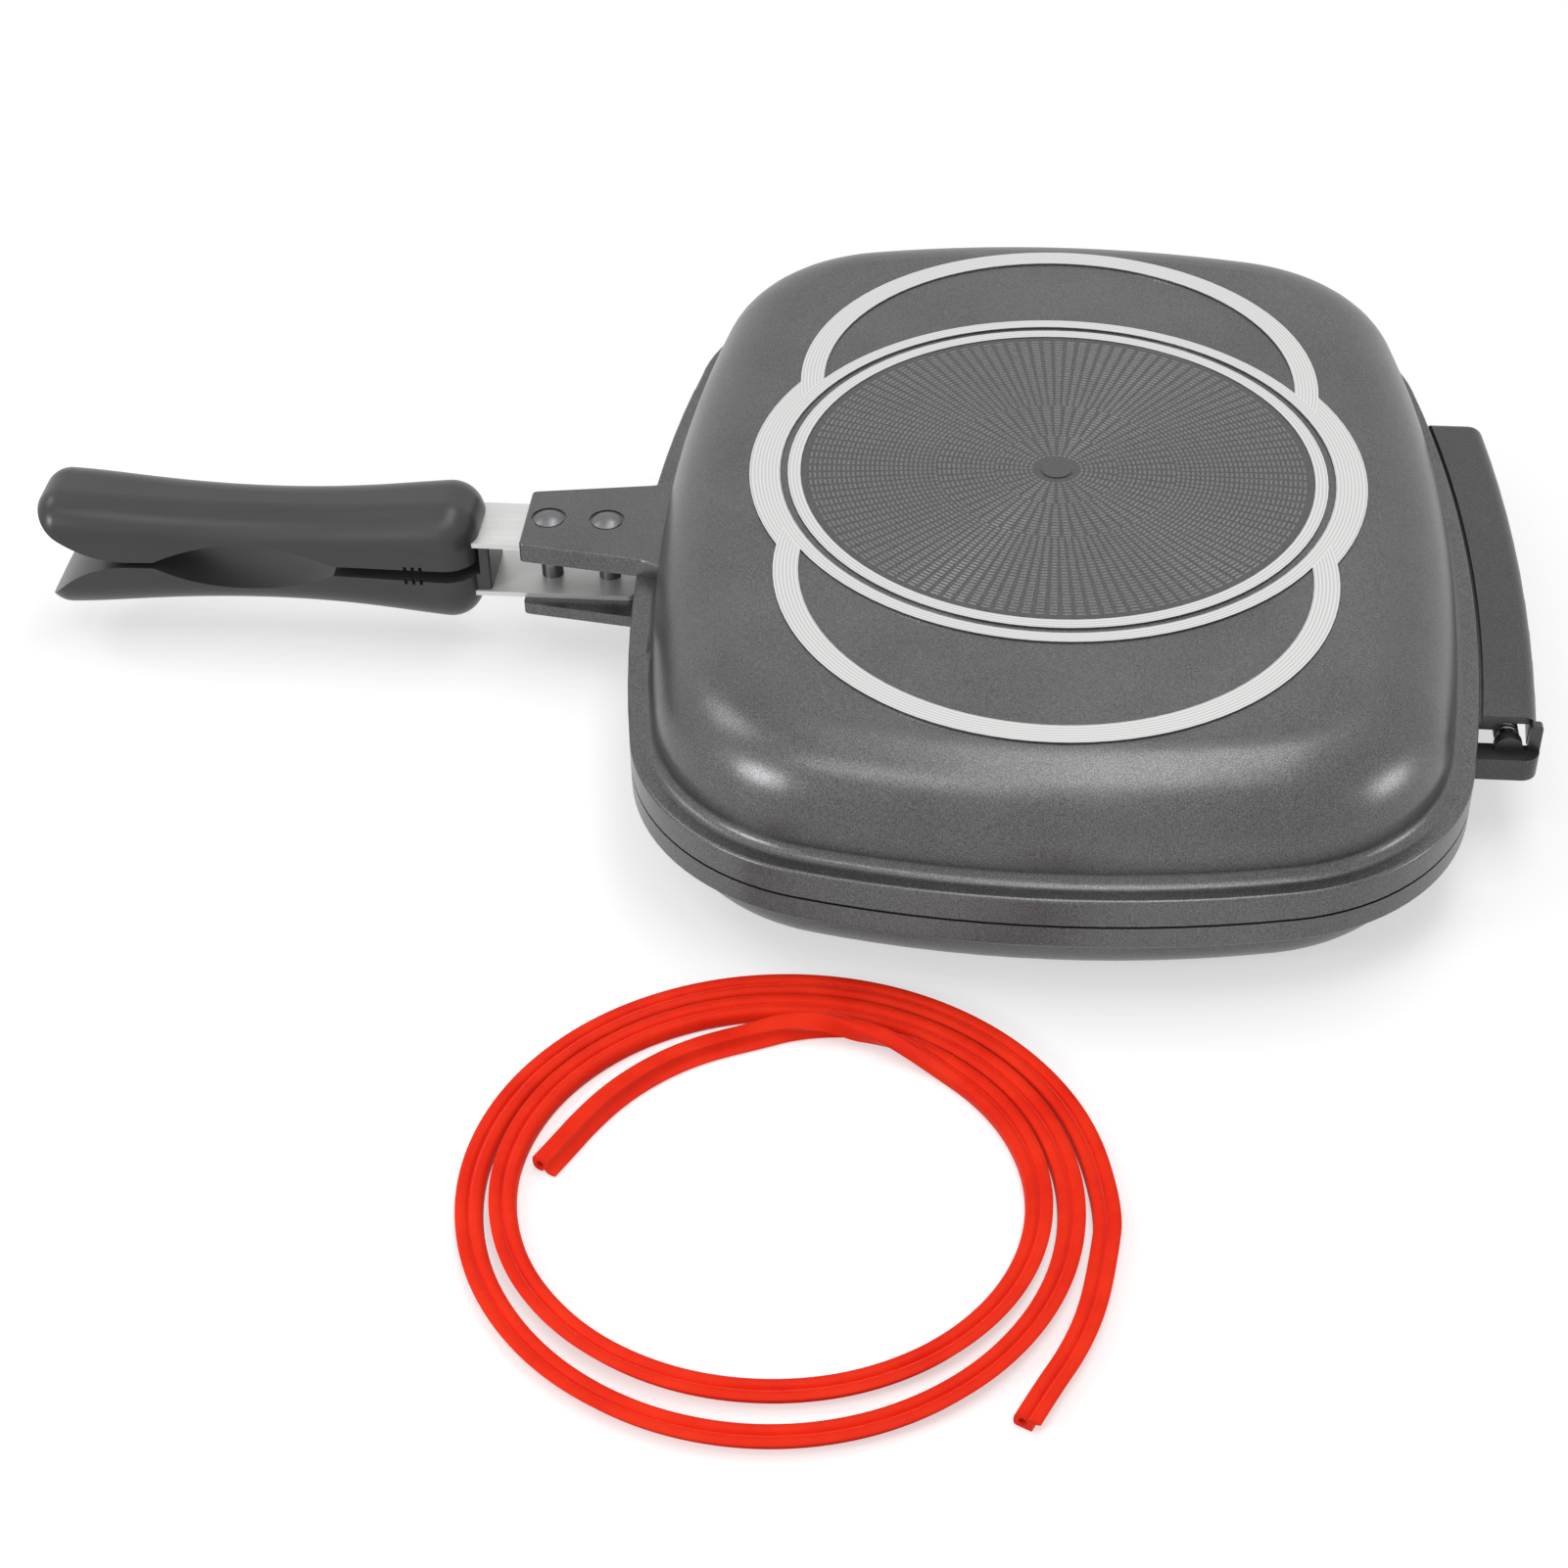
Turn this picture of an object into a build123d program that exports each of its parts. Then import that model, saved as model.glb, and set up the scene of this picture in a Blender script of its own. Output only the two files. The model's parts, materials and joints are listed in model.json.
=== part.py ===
from build123d import *
import math
import os

# A stove-top double-sided grill pan: two die-cast halves on a rear hinge, each with a riveted
# steel strap and a moulded half grip, and a loose spare length of the red rim seal beside it.
# Frame: millimetres, +Z up, +X from the handle to the hinge, origin on the surface that the
# pan stands on, under the middle of its base rings. A "rise" is a height measured outwards from the
# seam plane, or from the handle's plane, so the same drawing serves the upper and the lower half.

# Pan outline, seen from above: four gentle side arcs joined by round corners
PAN_HALF_X = 131.6
PAN_HALF_Y = 168.0
ENDS_RADIUS = 628.0
SIDES_RADIUS = 330.0
CORNER_RADIUS = 68.5

# Pan section
LOWER_DEPTH = 33.5
UPPER_DEPTH = 40.7
SEAM_GAP = 0.8
UPPER_RIM_HEIGHT = 9.4
LOWER_RIM_HEIGHT = 8.2
UPPER_RIM_EDGE = 1.0
LOWER_RIM_EDGE = 1.2
FLANGE_WIDTH = 7.5
FLANGE_FILLET = 3.5
WALL = 4.0
FLOOR = 4.0
WALL_DRAFT = 4.0
BASE_FILLET = 24.0

# Bare machined lands on the outside of each base
LAND_HEIGHT = 0.6
INNER_BAND = (80.0, 84.0)
OUTER_BAND = (86.4, 90.7)
SIDE_LUNE_RADIUS = 96.0
OFFSET_RING_CENTRE = 53.2
OFFSET_BAND = (76.5, 84.1)

# Heat-spreading disc pressed into each base, inside the inner band
DISC_CLEARANCE = 0.1
DISC_THICKNESS = 0.7
DISC_RECESS = 0.4
CENTRE_PAD_RADIUS = 5.0

# Grill ridges on the lower cooking surface
RIDGE_HEIGHT = 2.2
RIDGE_WIDTH = 3.4
RIDGE_DRAFT = 12.0
RIDGE_PITCH = 12.0
RIDGE_COUNT = 21
RIDGE_MARGIN = 4.0

# Rim seal in its groove in the lower rim
GROOVE_INSET = 3.2
GROOVE_WIDTH = 4.2
GROOVE_DEPTH = 3.5
SEAL_CLEARANCE = 0.1
SEAL_PROUD = 0.6
SEAL_CROWN_FILLET = 1.4

# Handle: both halves mirror each other about a plane a little above the seam
HANDLE_LIFT = 2.3

# Handle brackets, straps and rivets, with rises from the handle's own plane
BRACKET_REACH = 37.9
BRACKET_TIP_HALF_WIDTH = 15.2
BRACKET_TIP_CORNER = 1.5
BRACKET_ROOT_HALF_WIDTH = 21.0
BRACKET_FLARE = 7.0
BRACKET_ROOT_DEPTH = 10.5
BRACKET_BEND_REACH = 0.5
BRACKET_BEND_SPREAD = 0.3
BRACKET_EDGE = 0.8
UPPER_BRACKET_WALL = 3.8
UPPER_BRACKET_PLATE = 3.0
LOWER_BRACKET_PLATE = 4.5
STRAP_WIDTH = 23.8
STRAP_THICKNESS = 1.7
STRAP_INNER_RISE = 8.4
STRAP_CORNER = 2.0
STRAP_SIDE_CLEARANCE = 0.1
STRAP_ROOT_GAP = 2.4
STRAP_TANG = 44.0
RIVETS_FROM_TIP = (7.5, 26.4)
RIVET_SHANK_RADIUS = 2.5
RIVET_HEAD_RADIUS = 4.9
RIVET_HEAD_EDGE = 0.3
RIVET_HEAD_HEIGHT = 1.6
RIVET_TAIL_RADIUS = 3.5
RIVET_TAIL_LENGTH = 7.3
RIVET_TAIL_DOME = 3.1
RIVET_SEAT_CLEARANCE = 0.8
RIVET_SEAT_DEPTH = 0.5
SHANK_CLEARANCE = 0.05

# Grips: one rounded bar around both straps, parted into two halves along the handle's plane.
# Each section has its share of the length from the neck, its half width and its half height.
GRIP_GAP = 14.5
GRIP_LENGTH = 145.0
GRIP_SECTIONS = (
    (0.00, 17.0, 21.5),
    (0.10, 16.9, 20.7),
    (0.24, 16.2, 18.8),
    (0.45, 15.6, 17.4),
    (0.65, 16.0, 17.9),
    (0.86, 16.9, 20.1),
    (1.00, 17.0, 20.8),
)
GRIP_CORNER = 12.5
GRIP_NECK_FILLET = 10.5
GRIP_TAIL_FILLET = 8.0
PARTING_NECK_RISE = 2.3
PARTING_TAIL_RISE = 1.0
TAIL_CURL_LENGTH = 30.0
TAIL_CURL_RADIUS = 34.0
SCALLOP_FROM_NECK = 76.5
SCALLOP_HALF_LENGTH = 29.5
SCALLOP_RISE = 8.4
TONGUE_REACH = 3.7
TONGUE_ROOT = 2.0
TONGUE_WIDTH = 22.0
TONGUE_CLEARANCE = 0.3
TONGUE_CORNER = 1.0
NOTCHES_FROM_NECK = (18.0, 20.5, 23.0)
NOTCH_WIDTH = 1.1
NOTCH_HEIGHT = 1.3
NOTCH_DEPTH = 2.0
TANG_CLEARANCE = 0.1
SCREWS_FROM_NECK = (9.0, 37.5)
SCREW_RADIUS = 1.9
SCREW_HEAD_RADIUS = 3.5
SCREW_HEAD_HEIGHT = 2.4
SCREW_HEAD_EDGE = 0.4
SCREW_HEAD_CLEARANCE = 0.3
SCREW_REACH = 4.0
SCREW_SLOT_WIDTH = 0.9
SCREW_SLOT_DEPTH = 0.8
MAGNET_FROM_NECK = 26.5
MAGNET_RADIUS = 5.0
MAGNET_THICKNESS = 3.0
MAGNET_CHAMFER = 0.4
MAGNET_SINK = 0.3
MAGNET_CLEARANCE = 0.05

# Hinge along +Y at the seam
HINGE_STAND_OFF = 4.6
BARREL_RADIUS = 4.2
PIN_RADIUS = 2.0
PIN_CLEARANCE = 0.05
WASHER_THICKNESS = 0.5
WASHER_RADIUS = 3.8
WASHER_CLEARANCE = 0.1
UPPER_KNUCKLE_LENGTH = 12.0
UPPER_KNUCKLE_INNER_Y = 52.0
UPPER_WEB_HALF_WIDTH = 3.0
WEB_OVERLAP = 0.5
LOWER_KNUCKLE_LENGTH = 11.0
LOWER_NECK_RISE = (-3.2, -0.4)
ROOT_OVERLAP = 2.0
END_BLOCK_Y = (-85.0, -77.6)
END_BARREL_LENGTH = 3.2
SHELF_REACH = 13.8
SHELF_RISE = (-8.4, -0.8)
SHELF_CORNER = 5.0
FIN_THICKNESS = 3.6
FIN_LENGTH = 5.0
FIN_RISE = 8.4
FIN_CORNER = 1.2
PIN_BLIND_WALL = 0.8
PIN_END_CLEARANCE = 0.2
PIN_DOME_HEIGHT = 0.6
PIN_FAR_OVERHANG = 2.4
CLIP_RADIUS = 4.0
CLIP_THICKNESS = 0.8
CLIP_SEAT_RADIUS = 1.5
CLIP_CLEARANCE = 0.05
CLIP_MOUTH = 2.6
CLIP_STAND_OFF = 0.3
SPRING_WIRE_RADIUS = 0.55
SPRING_MEAN_RADIUS = 3.2
SPRING_TURNS = 5
SPRING_PITCH = 1.7
SPRING_START_Y = -75.0
SPRING_END_LEG = 1.2
SPRING_LEG_CLEARANCE = 0.05

# Hinge cover, cast with the upper half: its outer side is bowed like the rim
COVER_Y = (-76.6, 86.0)
COVER_END_REACH = 12.4
COVER_MIDDLE_REACH = 16.6
COVER_TOP_RISE = 8.9
COVER_UNDER_RISE = 6.4
COVER_HEM_RISE = -1.0
COVER_WALL = 2.2
COVER_END_WALL = 2.5
COVER_GAP = 1.0
COVER_TOP_FILLET = 4.0
COVER_CORNER = 5.0
COVER_INSIDE_RIM = 1.0
BRIDGE_RISE = (3.8, 6.8)
BRIDGE_BARREL_CLEARANCE = 0.35

# Loose spare seal: its section, and where its coil lies
SPARE_WIDTH = 7.2
SPARE_BULB_RADIUS = 2.3
SPARE_BORE_RADIUS = 1.2
SPARE_LIP_THICKNESS = 1.3
SPARE_STEM_WIDTH = 2.6
SPARE_STEM_HEIGHT = 3.4
SPARE_LINE_WIDTH = 0.6
SPARE_LINE_DEPTH = 0.4
COIL_CENTRE = (-65.8, -243.9)
COIL_QUARTER_RADII = (62.6, 67.2, 65.2, 75.0, 71.0, 75.6, 79.2, 83.4, 79.4, 84.0)
COIL_BEFORE_RADIUS = 66.6
COIL_AFTER_RADIUS = 87.6
COIL_INNER_END = (-131.0, -238.1)
COIL_INNER_HEADING = 62.0
COIL_INNER_BEND = (-110.4, -203.1)
COIL_INNER_BEND_HEADING = 42.0
COIL_OUTER_END = (-0.6, -313.9)
COIL_OUTER_HEADING = -112.0

# Worked out from the above
SEAM_Z = LOWER_DEPTH
HALF_GAP = SEAM_GAP / 2
HINGE_X = PAN_HALF_X + HINGE_STAND_OFF
UPPER = Plane(origin=(0, 0, SEAM_Z), x_dir=(1, 0, 0), z_dir=(0, 0, 1))
LOWER = Plane(origin=(0, 0, SEAM_Z), x_dir=(1, 0, 0), z_dir=(0, 0, -1))
UPPER_HANDLE = UPPER.offset(HANDLE_LIFT)
LOWER_HANDLE = LOWER.offset(-HANDLE_LIFT)
HINGE_SECTION = Plane(origin=(HINGE_X, 0, SEAM_Z), x_dir=(1, 0, 0), z_dir=(0, -1, 0))
WALL_INSET = FLANGE_WIDTH + WALL
BRACKET_TIP_X = -PAN_HALF_X - BRACKET_REACH
STRAP_OUTER_RISE = STRAP_INNER_RISE + STRAP_THICKNESS
UPPER_FACE_RISE = STRAP_OUTER_RISE + UPPER_BRACKET_PLATE
LOWER_FACE_RISE = STRAP_OUTER_RISE + LOWER_BRACKET_PLATE
RIVET_XS = [BRACKET_TIP_X + step for step in RIVETS_FROM_TIP]
GRIP_NECK_X = BRACKET_TIP_X - GRIP_GAP
GRIP_TAIL_X = GRIP_NECK_X - GRIP_LENGTH
TAIL_CURL_X = GRIP_TAIL_X + TAIL_CURL_LENGTH
STRAP_ROOT_X = -PAN_HALF_X - STRAP_ROOT_GAP
STRAP_TAIL_X = GRIP_NECK_X - STRAP_TANG
SCREW_XS = [GRIP_NECK_X - step for step in SCREWS_FROM_NECK]
NOTCH_XS = [GRIP_NECK_X - step for step in NOTCHES_FROM_NECK]
SCALLOP_CENTRE_X = GRIP_NECK_X - SCALLOP_FROM_NECK
MAGNET_X = GRIP_NECK_X - MAGNET_FROM_NECK
DISC_RADIUS = INNER_BAND[0] - DISC_CLEARANCE
UPPER_KNUCKLE_OUTER_Y = UPPER_KNUCKLE_INNER_Y + UPPER_KNUCKLE_LENGTH
WASHER_SPACE = WASHER_THICKNESS + 2 * WASHER_CLEARANCE
LOWER_KNUCKLE_OUTER_Y = UPPER_KNUCKLE_INNER_Y - WASHER_SPACE
CLIP_Y = UPPER_KNUCKLE_OUTER_Y + CLIP_STAND_OFF
PIN_FAR_Y = UPPER_KNUCKLE_OUTER_Y + PIN_FAR_OVERHANG
BORE_RADIUS = PIN_RADIUS + PIN_CLEARANCE
BORE_NEAR_Y = END_BLOCK_Y[1] - END_BARREL_LENGTH + PIN_BLIND_WALL
PIN_NEAR_Y = BORE_NEAR_Y + PIN_END_CLEARANCE + PIN_DOME_HEIGHT
SHELF_REACH_X = PAN_HALF_X + SHELF_REACH

os.makedirs("parts", exist_ok=True)


def save(part, name):
    """Label a finished piece and write it to its own file."""
    part.label = name
    export_step(part, f"parts/{name}.step")


def rise_of(half, shape):
    """How far a shape's centre lies from the plane of its half, outwards."""
    return (shape.center() - half.origin).dot(half.z_dir)


def outward(half):
    """Axis that sorts the pieces of a half from its plane outwards."""
    return Axis(half.origin, half.z_dir)


def side_view(half):
    """Plane for drawing a half from the side: X to the hinge, Y outwards from its plane."""
    return Plane(origin=half.origin, x_dir=(1, 0, 0), z_dir=Vector(1, 0, 0).cross(half.z_dir))


def rim_x(y):
    """Where the rim's edge on the hinge side lies at a given Y."""
    return PAN_HALF_X - ENDS_RADIUS + math.sqrt(ENDS_RADIUS**2 - y**2)


def dome_middle(radius, height):
    """Point half-way along a dome's profile, measured from the middle of its base."""
    sphere = (radius**2 + height**2) / (2 * height)
    angle = math.asin(radius / sphere) / 2
    return sphere * math.sin(angle), height - sphere * (1 - math.cos(angle))


def corner_centre():
    """Centre of the corner arc that is tangent to an end arc and a side arc."""
    end_x = PAN_HALF_X - ENDS_RADIUS
    side_y = PAN_HALF_Y - SIDES_RADIUS
    to_end = ENDS_RADIUS - CORNER_RADIUS
    to_side = SIDES_RADIUS - CORNER_RADIUS
    apart = math.hypot(end_x, side_y)
    along = (to_end**2 - to_side**2 + apart**2) / (2 * apart)
    across = math.sqrt(to_end**2 - along**2)
    ux, uy = -end_x / apart, side_y / apart
    return Vector(end_x + ux * along - uy * across, uy * along + ux * across)


def pan_outline(inset):
    """The pan's outline seen from above, drawn in evenly by the inset."""
    centre = corner_centre()
    radius = CORNER_RADIUS - inset
    to_end = (centre - Vector(PAN_HALF_X - ENDS_RADIUS, 0)).normalized()
    to_side = (centre - Vector(0, PAN_HALF_Y - SIDES_RADIUS)).normalized()
    low = centre + to_end * radius
    mid = centre + (to_end + to_side).normalized() * radius
    high = centre + to_side * radius
    half_x = PAN_HALF_X - inset
    half_y = PAN_HALF_Y - inset
    with BuildSketch(mode=Mode.PRIVATE) as outline:
        with BuildLine():
            ThreePointArc((low.X, -low.Y), (half_x, 0), (low.X, low.Y))
            ThreePointArc((low.X, low.Y), (mid.X, mid.Y), (high.X, high.Y))
            ThreePointArc((high.X, high.Y), (0, half_y), (-high.X, high.Y))
            ThreePointArc((-high.X, high.Y), (-mid.X, mid.Y), (-low.X, low.Y))
            ThreePointArc((-low.X, low.Y), (-half_x, 0), (-low.X, -low.Y))
            ThreePointArc((-low.X, -low.Y), (-mid.X, -mid.Y), (-high.X, -high.Y))
            ThreePointArc((-high.X, -high.Y), (0, -half_y), (high.X, -high.Y))
            ThreePointArc((high.X, -high.Y), (mid.X, -mid.Y), (low.X, -low.Y))
        make_face()
    return outline.sketch


def outline_band(outer_inset, inner_inset):
    """A band that follows the pan's outline between two insets."""
    with BuildSketch(mode=Mode.PRIVATE) as band:
        add(pan_outline(outer_inset))
        add(pan_outline(inner_inset), mode=Mode.SUBTRACT)
    return band.sketch


def bracket_outline():
    """The handle bracket seen from above, from its tip to inside the pan's wall."""
    root_x = -PAN_HALF_X
    root_y = BRACKET_ROOT_HALF_WIDTH
    inside_x = root_x + BRACKET_ROOT_DEPTH
    flared_y = root_y + BRACKET_FLARE
    bend = (root_x + BRACKET_BEND_REACH * BRACKET_ROOT_DEPTH, root_y + BRACKET_BEND_SPREAD * BRACKET_FLARE)
    with BuildSketch(mode=Mode.PRIVATE) as outline:
        with BuildLine():
            Line((BRACKET_TIP_X, -BRACKET_TIP_HALF_WIDTH), (BRACKET_TIP_X, BRACKET_TIP_HALF_WIDTH))
            Line((BRACKET_TIP_X, BRACKET_TIP_HALF_WIDTH), (root_x, root_y))
            ThreePointArc((root_x, root_y), bend, (inside_x, flared_y))
            Line((inside_x, flared_y), (inside_x, -flared_y))
            ThreePointArc((inside_x, -flared_y), (bend[0], -bend[1]), (root_x, -root_y))
            Line((root_x, -root_y), (BRACKET_TIP_X, -BRACKET_TIP_HALF_WIDTH))
        make_face()
        fillet(outline.vertices().group_by(Axis.X)[0], radius=BRACKET_TIP_CORNER)
    return outline.sketch


def pan_shell(half, depth, rim_height, rim_edge):
    """The outside of one cast half: its rim and its dished base, still solid."""
    flat_rise = depth - LAND_HEIGHT
    with BuildPart() as shell:
        with BuildSketch(half.offset(HALF_GAP)):
            add(pan_outline(0))
        extrude(amount=rim_height - HALF_GAP)
        with BuildSketch(half.offset(rim_height)):
            add(pan_outline(FLANGE_WIDTH))
        extrude(amount=flat_rise - rim_height, taper=WALL_DRAFT)
        base = shell.faces().sort_by(outward(half))[-1]
        fillet(base.edges(), radius=BASE_FILLET)
        flats = shell.faces().filter_by(GeomType.PLANE)
        flange = flats.filter_by(lambda face: abs(rise_of(half, face) - rim_height) < 0.01)[0]
        fillet(flange.inner_wires()[0].edges(), radius=FLANGE_FILLET)
        flats = shell.faces().filter_by(GeomType.PLANE)
        flange = flats.filter_by(lambda face: abs(rise_of(half, face) - rim_height) < 0.01)[0]
        fillet(flange.outer_wire().edges(), radius=rim_edge)
    return shell.part


def cooking_cavity(half, depth):
    """The space inside one half, with the same draft as its wall."""
    floor_rise = depth - LAND_HEIGHT - FLOOR
    with BuildPart() as cavity:
        with BuildSketch(half):
            add(pan_outline(WALL_INSET))
        extrude(amount=floor_rise, taper=WALL_DRAFT)
        bottom = cavity.faces().sort_by(outward(half))[-1]
        fillet(bottom.edges(), radius=BASE_FILLET - FLOOR)
    return cavity.part


def handle_bracket(half, wall, plate):
    """The bracket on the rim: a plate over the strap, with walls beside the strap or without."""
    foot_rise = STRAP_OUTER_RISE - wall
    face_rise = STRAP_OUTER_RISE + plate
    channel_tip_x = BRACKET_TIP_X - BRACKET_TIP_CORNER
    channel_root_x = STRAP_ROOT_X + STRAP_SIDE_CLEARANCE
    rivet_places = [(x, 0) for x in RIVET_XS]
    with BuildPart() as bracket:
        with BuildSketch(half.offset(foot_rise)):
            add(bracket_outline())
        extrude(amount=face_rise - foot_rise)
        fillet(bracket.faces().sort_by(outward(half))[-1].edges(), radius=BRACKET_EDGE)
        if wall > 0:
            with BuildSketch(half.offset(foot_rise)):
                with Locations(((channel_tip_x + channel_root_x) / 2, 0)):
                    Rectangle(channel_root_x - channel_tip_x, STRAP_WIDTH + 2 * STRAP_SIDE_CLEARANCE)
            extrude(amount=wall, mode=Mode.SUBTRACT)
        with BuildSketch(half.offset(face_rise)):
            with Locations(*rivet_places):
                Circle(RIVET_HEAD_RADIUS + RIVET_SEAT_CLEARANCE)
        extrude(amount=-RIVET_SEAT_DEPTH, mode=Mode.SUBTRACT)
        with BuildSketch(half.offset(face_rise)):
            with Locations(*rivet_places):
                Circle(RIVET_SHANK_RADIUS + SHANK_CLEARANCE)
        extrude(amount=-plate, mode=Mode.SUBTRACT)
    return bracket.part


def base_lands():
    """The bright machined rings of a base: a round pair and two overlapping offset rings."""
    offset_places = [(0, -OFFSET_RING_CENTRE), (0, OFFSET_RING_CENTRE)]
    with BuildSketch(mode=Mode.PRIVATE) as side_lunes:
        Circle(SIDE_LUNE_RADIUS)
        with Locations(*offset_places):
            Circle(OFFSET_BAND[0], mode=Mode.SUBTRACT)
    with BuildSketch(mode=Mode.PRIVATE) as offset_rings:
        with Locations(*offset_places):
            Circle(OFFSET_BAND[1])
        with Locations(*offset_places):
            Circle(OFFSET_BAND[0], mode=Mode.SUBTRACT)
    with BuildSketch(mode=Mode.PRIVATE) as lands:
        add(side_lunes.sketch)
        add(offset_rings.sketch)
        Circle(OUTER_BAND[1])
        Circle(OUTER_BAND[0], mode=Mode.SUBTRACT)
        Circle(INNER_BAND[1])
        Circle(INNER_BAND[0], mode=Mode.SUBTRACT)
    return lands.sketch


def base_disc(half, depth):
    """The dark disc pressed into the middle of one base."""
    with BuildPart() as disc:
        with BuildSketch(half.offset(depth - LAND_HEIGHT - DISC_RECESS)):
            Circle(DISC_RADIUS)
        extrude(amount=DISC_THICKNESS)
        with BuildSketch(half.offset(depth - LAND_HEIGHT - DISC_RECESS)):
            Circle(CENTRE_PAD_RADIUS)
        extrude(amount=LAND_HEIGHT + DISC_RECESS)
    return disc.part


def handle_strap(half):
    """The flat steel bar that joins a bracket to its half grip."""
    with BuildPart() as strap:
        with BuildSketch(half.offset(STRAP_INNER_RISE)):
            with Locations(((STRAP_ROOT_X + STRAP_TAIL_X) / 2, 0)):
                RectangleRounded(STRAP_ROOT_X - STRAP_TAIL_X, STRAP_WIDTH, STRAP_CORNER)
            with Locations(*[(x, 0) for x in RIVET_XS]):
                Circle(RIVET_SHANK_RADIUS + SHANK_CLEARANCE, mode=Mode.SUBTRACT)
            with Locations(*[(x, 0) for x in SCREW_XS]):
                Circle(SCREW_RADIUS + SHANK_CLEARANCE, mode=Mode.SUBTRACT)
        extrude(amount=STRAP_THICKNESS)
    return strap.part


def strap_rivets(half, face_rise):
    """Both rivets of a strap: domed heads in the bracket's seats, long round tails inside."""
    seat = face_rise - RIVET_SEAT_DEPTH
    head_side = seat + RIVET_HEAD_EDGE
    head_x, head_up = dome_middle(RIVET_HEAD_RADIUS, RIVET_HEAD_HEIGHT)
    tail_end = STRAP_INNER_RISE - RIVET_TAIL_LENGTH
    tail_side = tail_end + RIVET_TAIL_DOME
    tail_x, tail_up = dome_middle(RIVET_TAIL_RADIUS, RIVET_TAIL_DOME)
    with BuildPart() as rivets:
        for x in RIVET_XS:
            with BuildSketch(side_view(half)):
                with BuildLine():
                    ThreePointArc(
                        (x, head_side + RIVET_HEAD_HEIGHT),
                        (x + head_x, head_side + head_up),
                        (x + RIVET_HEAD_RADIUS, head_side),
                    )
                    Polyline(
                        (x + RIVET_HEAD_RADIUS, head_side),
                        (x + RIVET_HEAD_RADIUS, seat),
                        (x + RIVET_SHANK_RADIUS, seat),
                        (x + RIVET_SHANK_RADIUS, STRAP_INNER_RISE),
                        (x + RIVET_TAIL_RADIUS, STRAP_INNER_RISE),
                        (x + RIVET_TAIL_RADIUS, tail_side),
                    )
                    ThreePointArc(
                        (x + RIVET_TAIL_RADIUS, tail_side),
                        (x + tail_x, tail_side - tail_up),
                        (x, tail_end),
                    )
                    Line((x, tail_end), (x, head_side + RIVET_HEAD_HEIGHT))
                make_face()
            revolve(axis=Axis((x, 0, half.origin.Z), half.z_dir))
    return rivets.part


def parting_rise(x):
    """How far the flat of a half grip stands off the handle's plane at a given X."""
    share = (GRIP_NECK_X - x) / (GRIP_NECK_X - TAIL_CURL_X)
    return PARTING_NECK_RISE + share * (PARTING_TAIL_RISE - PARTING_NECK_RISE)


def grip_side(half):
    """A half grip's room seen from the side: parting line, finger scallop and curled tail."""
    past_neck = GRIP_NECK_X + TONGUE_ROOT
    past_tail = GRIP_TAIL_X - TONGUE_CLEARANCE
    past_top = 2 * max(height for share, width, height in GRIP_SECTIONS)
    scallop_start = SCALLOP_CENTRE_X + SCALLOP_HALF_LENGTH
    scallop_end = SCALLOP_CENTRE_X - SCALLOP_HALF_LENGTH
    curl_angle = math.asin((TAIL_CURL_X - past_tail) / TAIL_CURL_RADIUS)
    curl_base = parting_rise(TAIL_CURL_X)
    curl_middle = (
        TAIL_CURL_X - TAIL_CURL_RADIUS * math.sin(curl_angle / 2),
        curl_base + TAIL_CURL_RADIUS * (1 - math.cos(curl_angle / 2)),
    )
    curl_end = (past_tail, curl_base + TAIL_CURL_RADIUS * (1 - math.cos(curl_angle)))
    with BuildSketch(side_view(half), mode=Mode.PRIVATE) as side:
        with BuildLine():
            Line((past_neck, parting_rise(past_neck)), (scallop_start, parting_rise(scallop_start)))
            ThreePointArc(
                (scallop_start, parting_rise(scallop_start)),
                (SCALLOP_CENTRE_X, SCALLOP_RISE),
                (scallop_end, parting_rise(scallop_end)),
            )
            Line((scallop_end, parting_rise(scallop_end)), (TAIL_CURL_X, curl_base))
            ThreePointArc((TAIL_CURL_X, curl_base), curl_middle, curl_end)
            Polyline(
                curl_end,
                (past_tail, past_top),
                (past_neck, past_top),
                (past_neck, parting_rise(past_neck)),
            )
        make_face()
    return side.sketch


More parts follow.
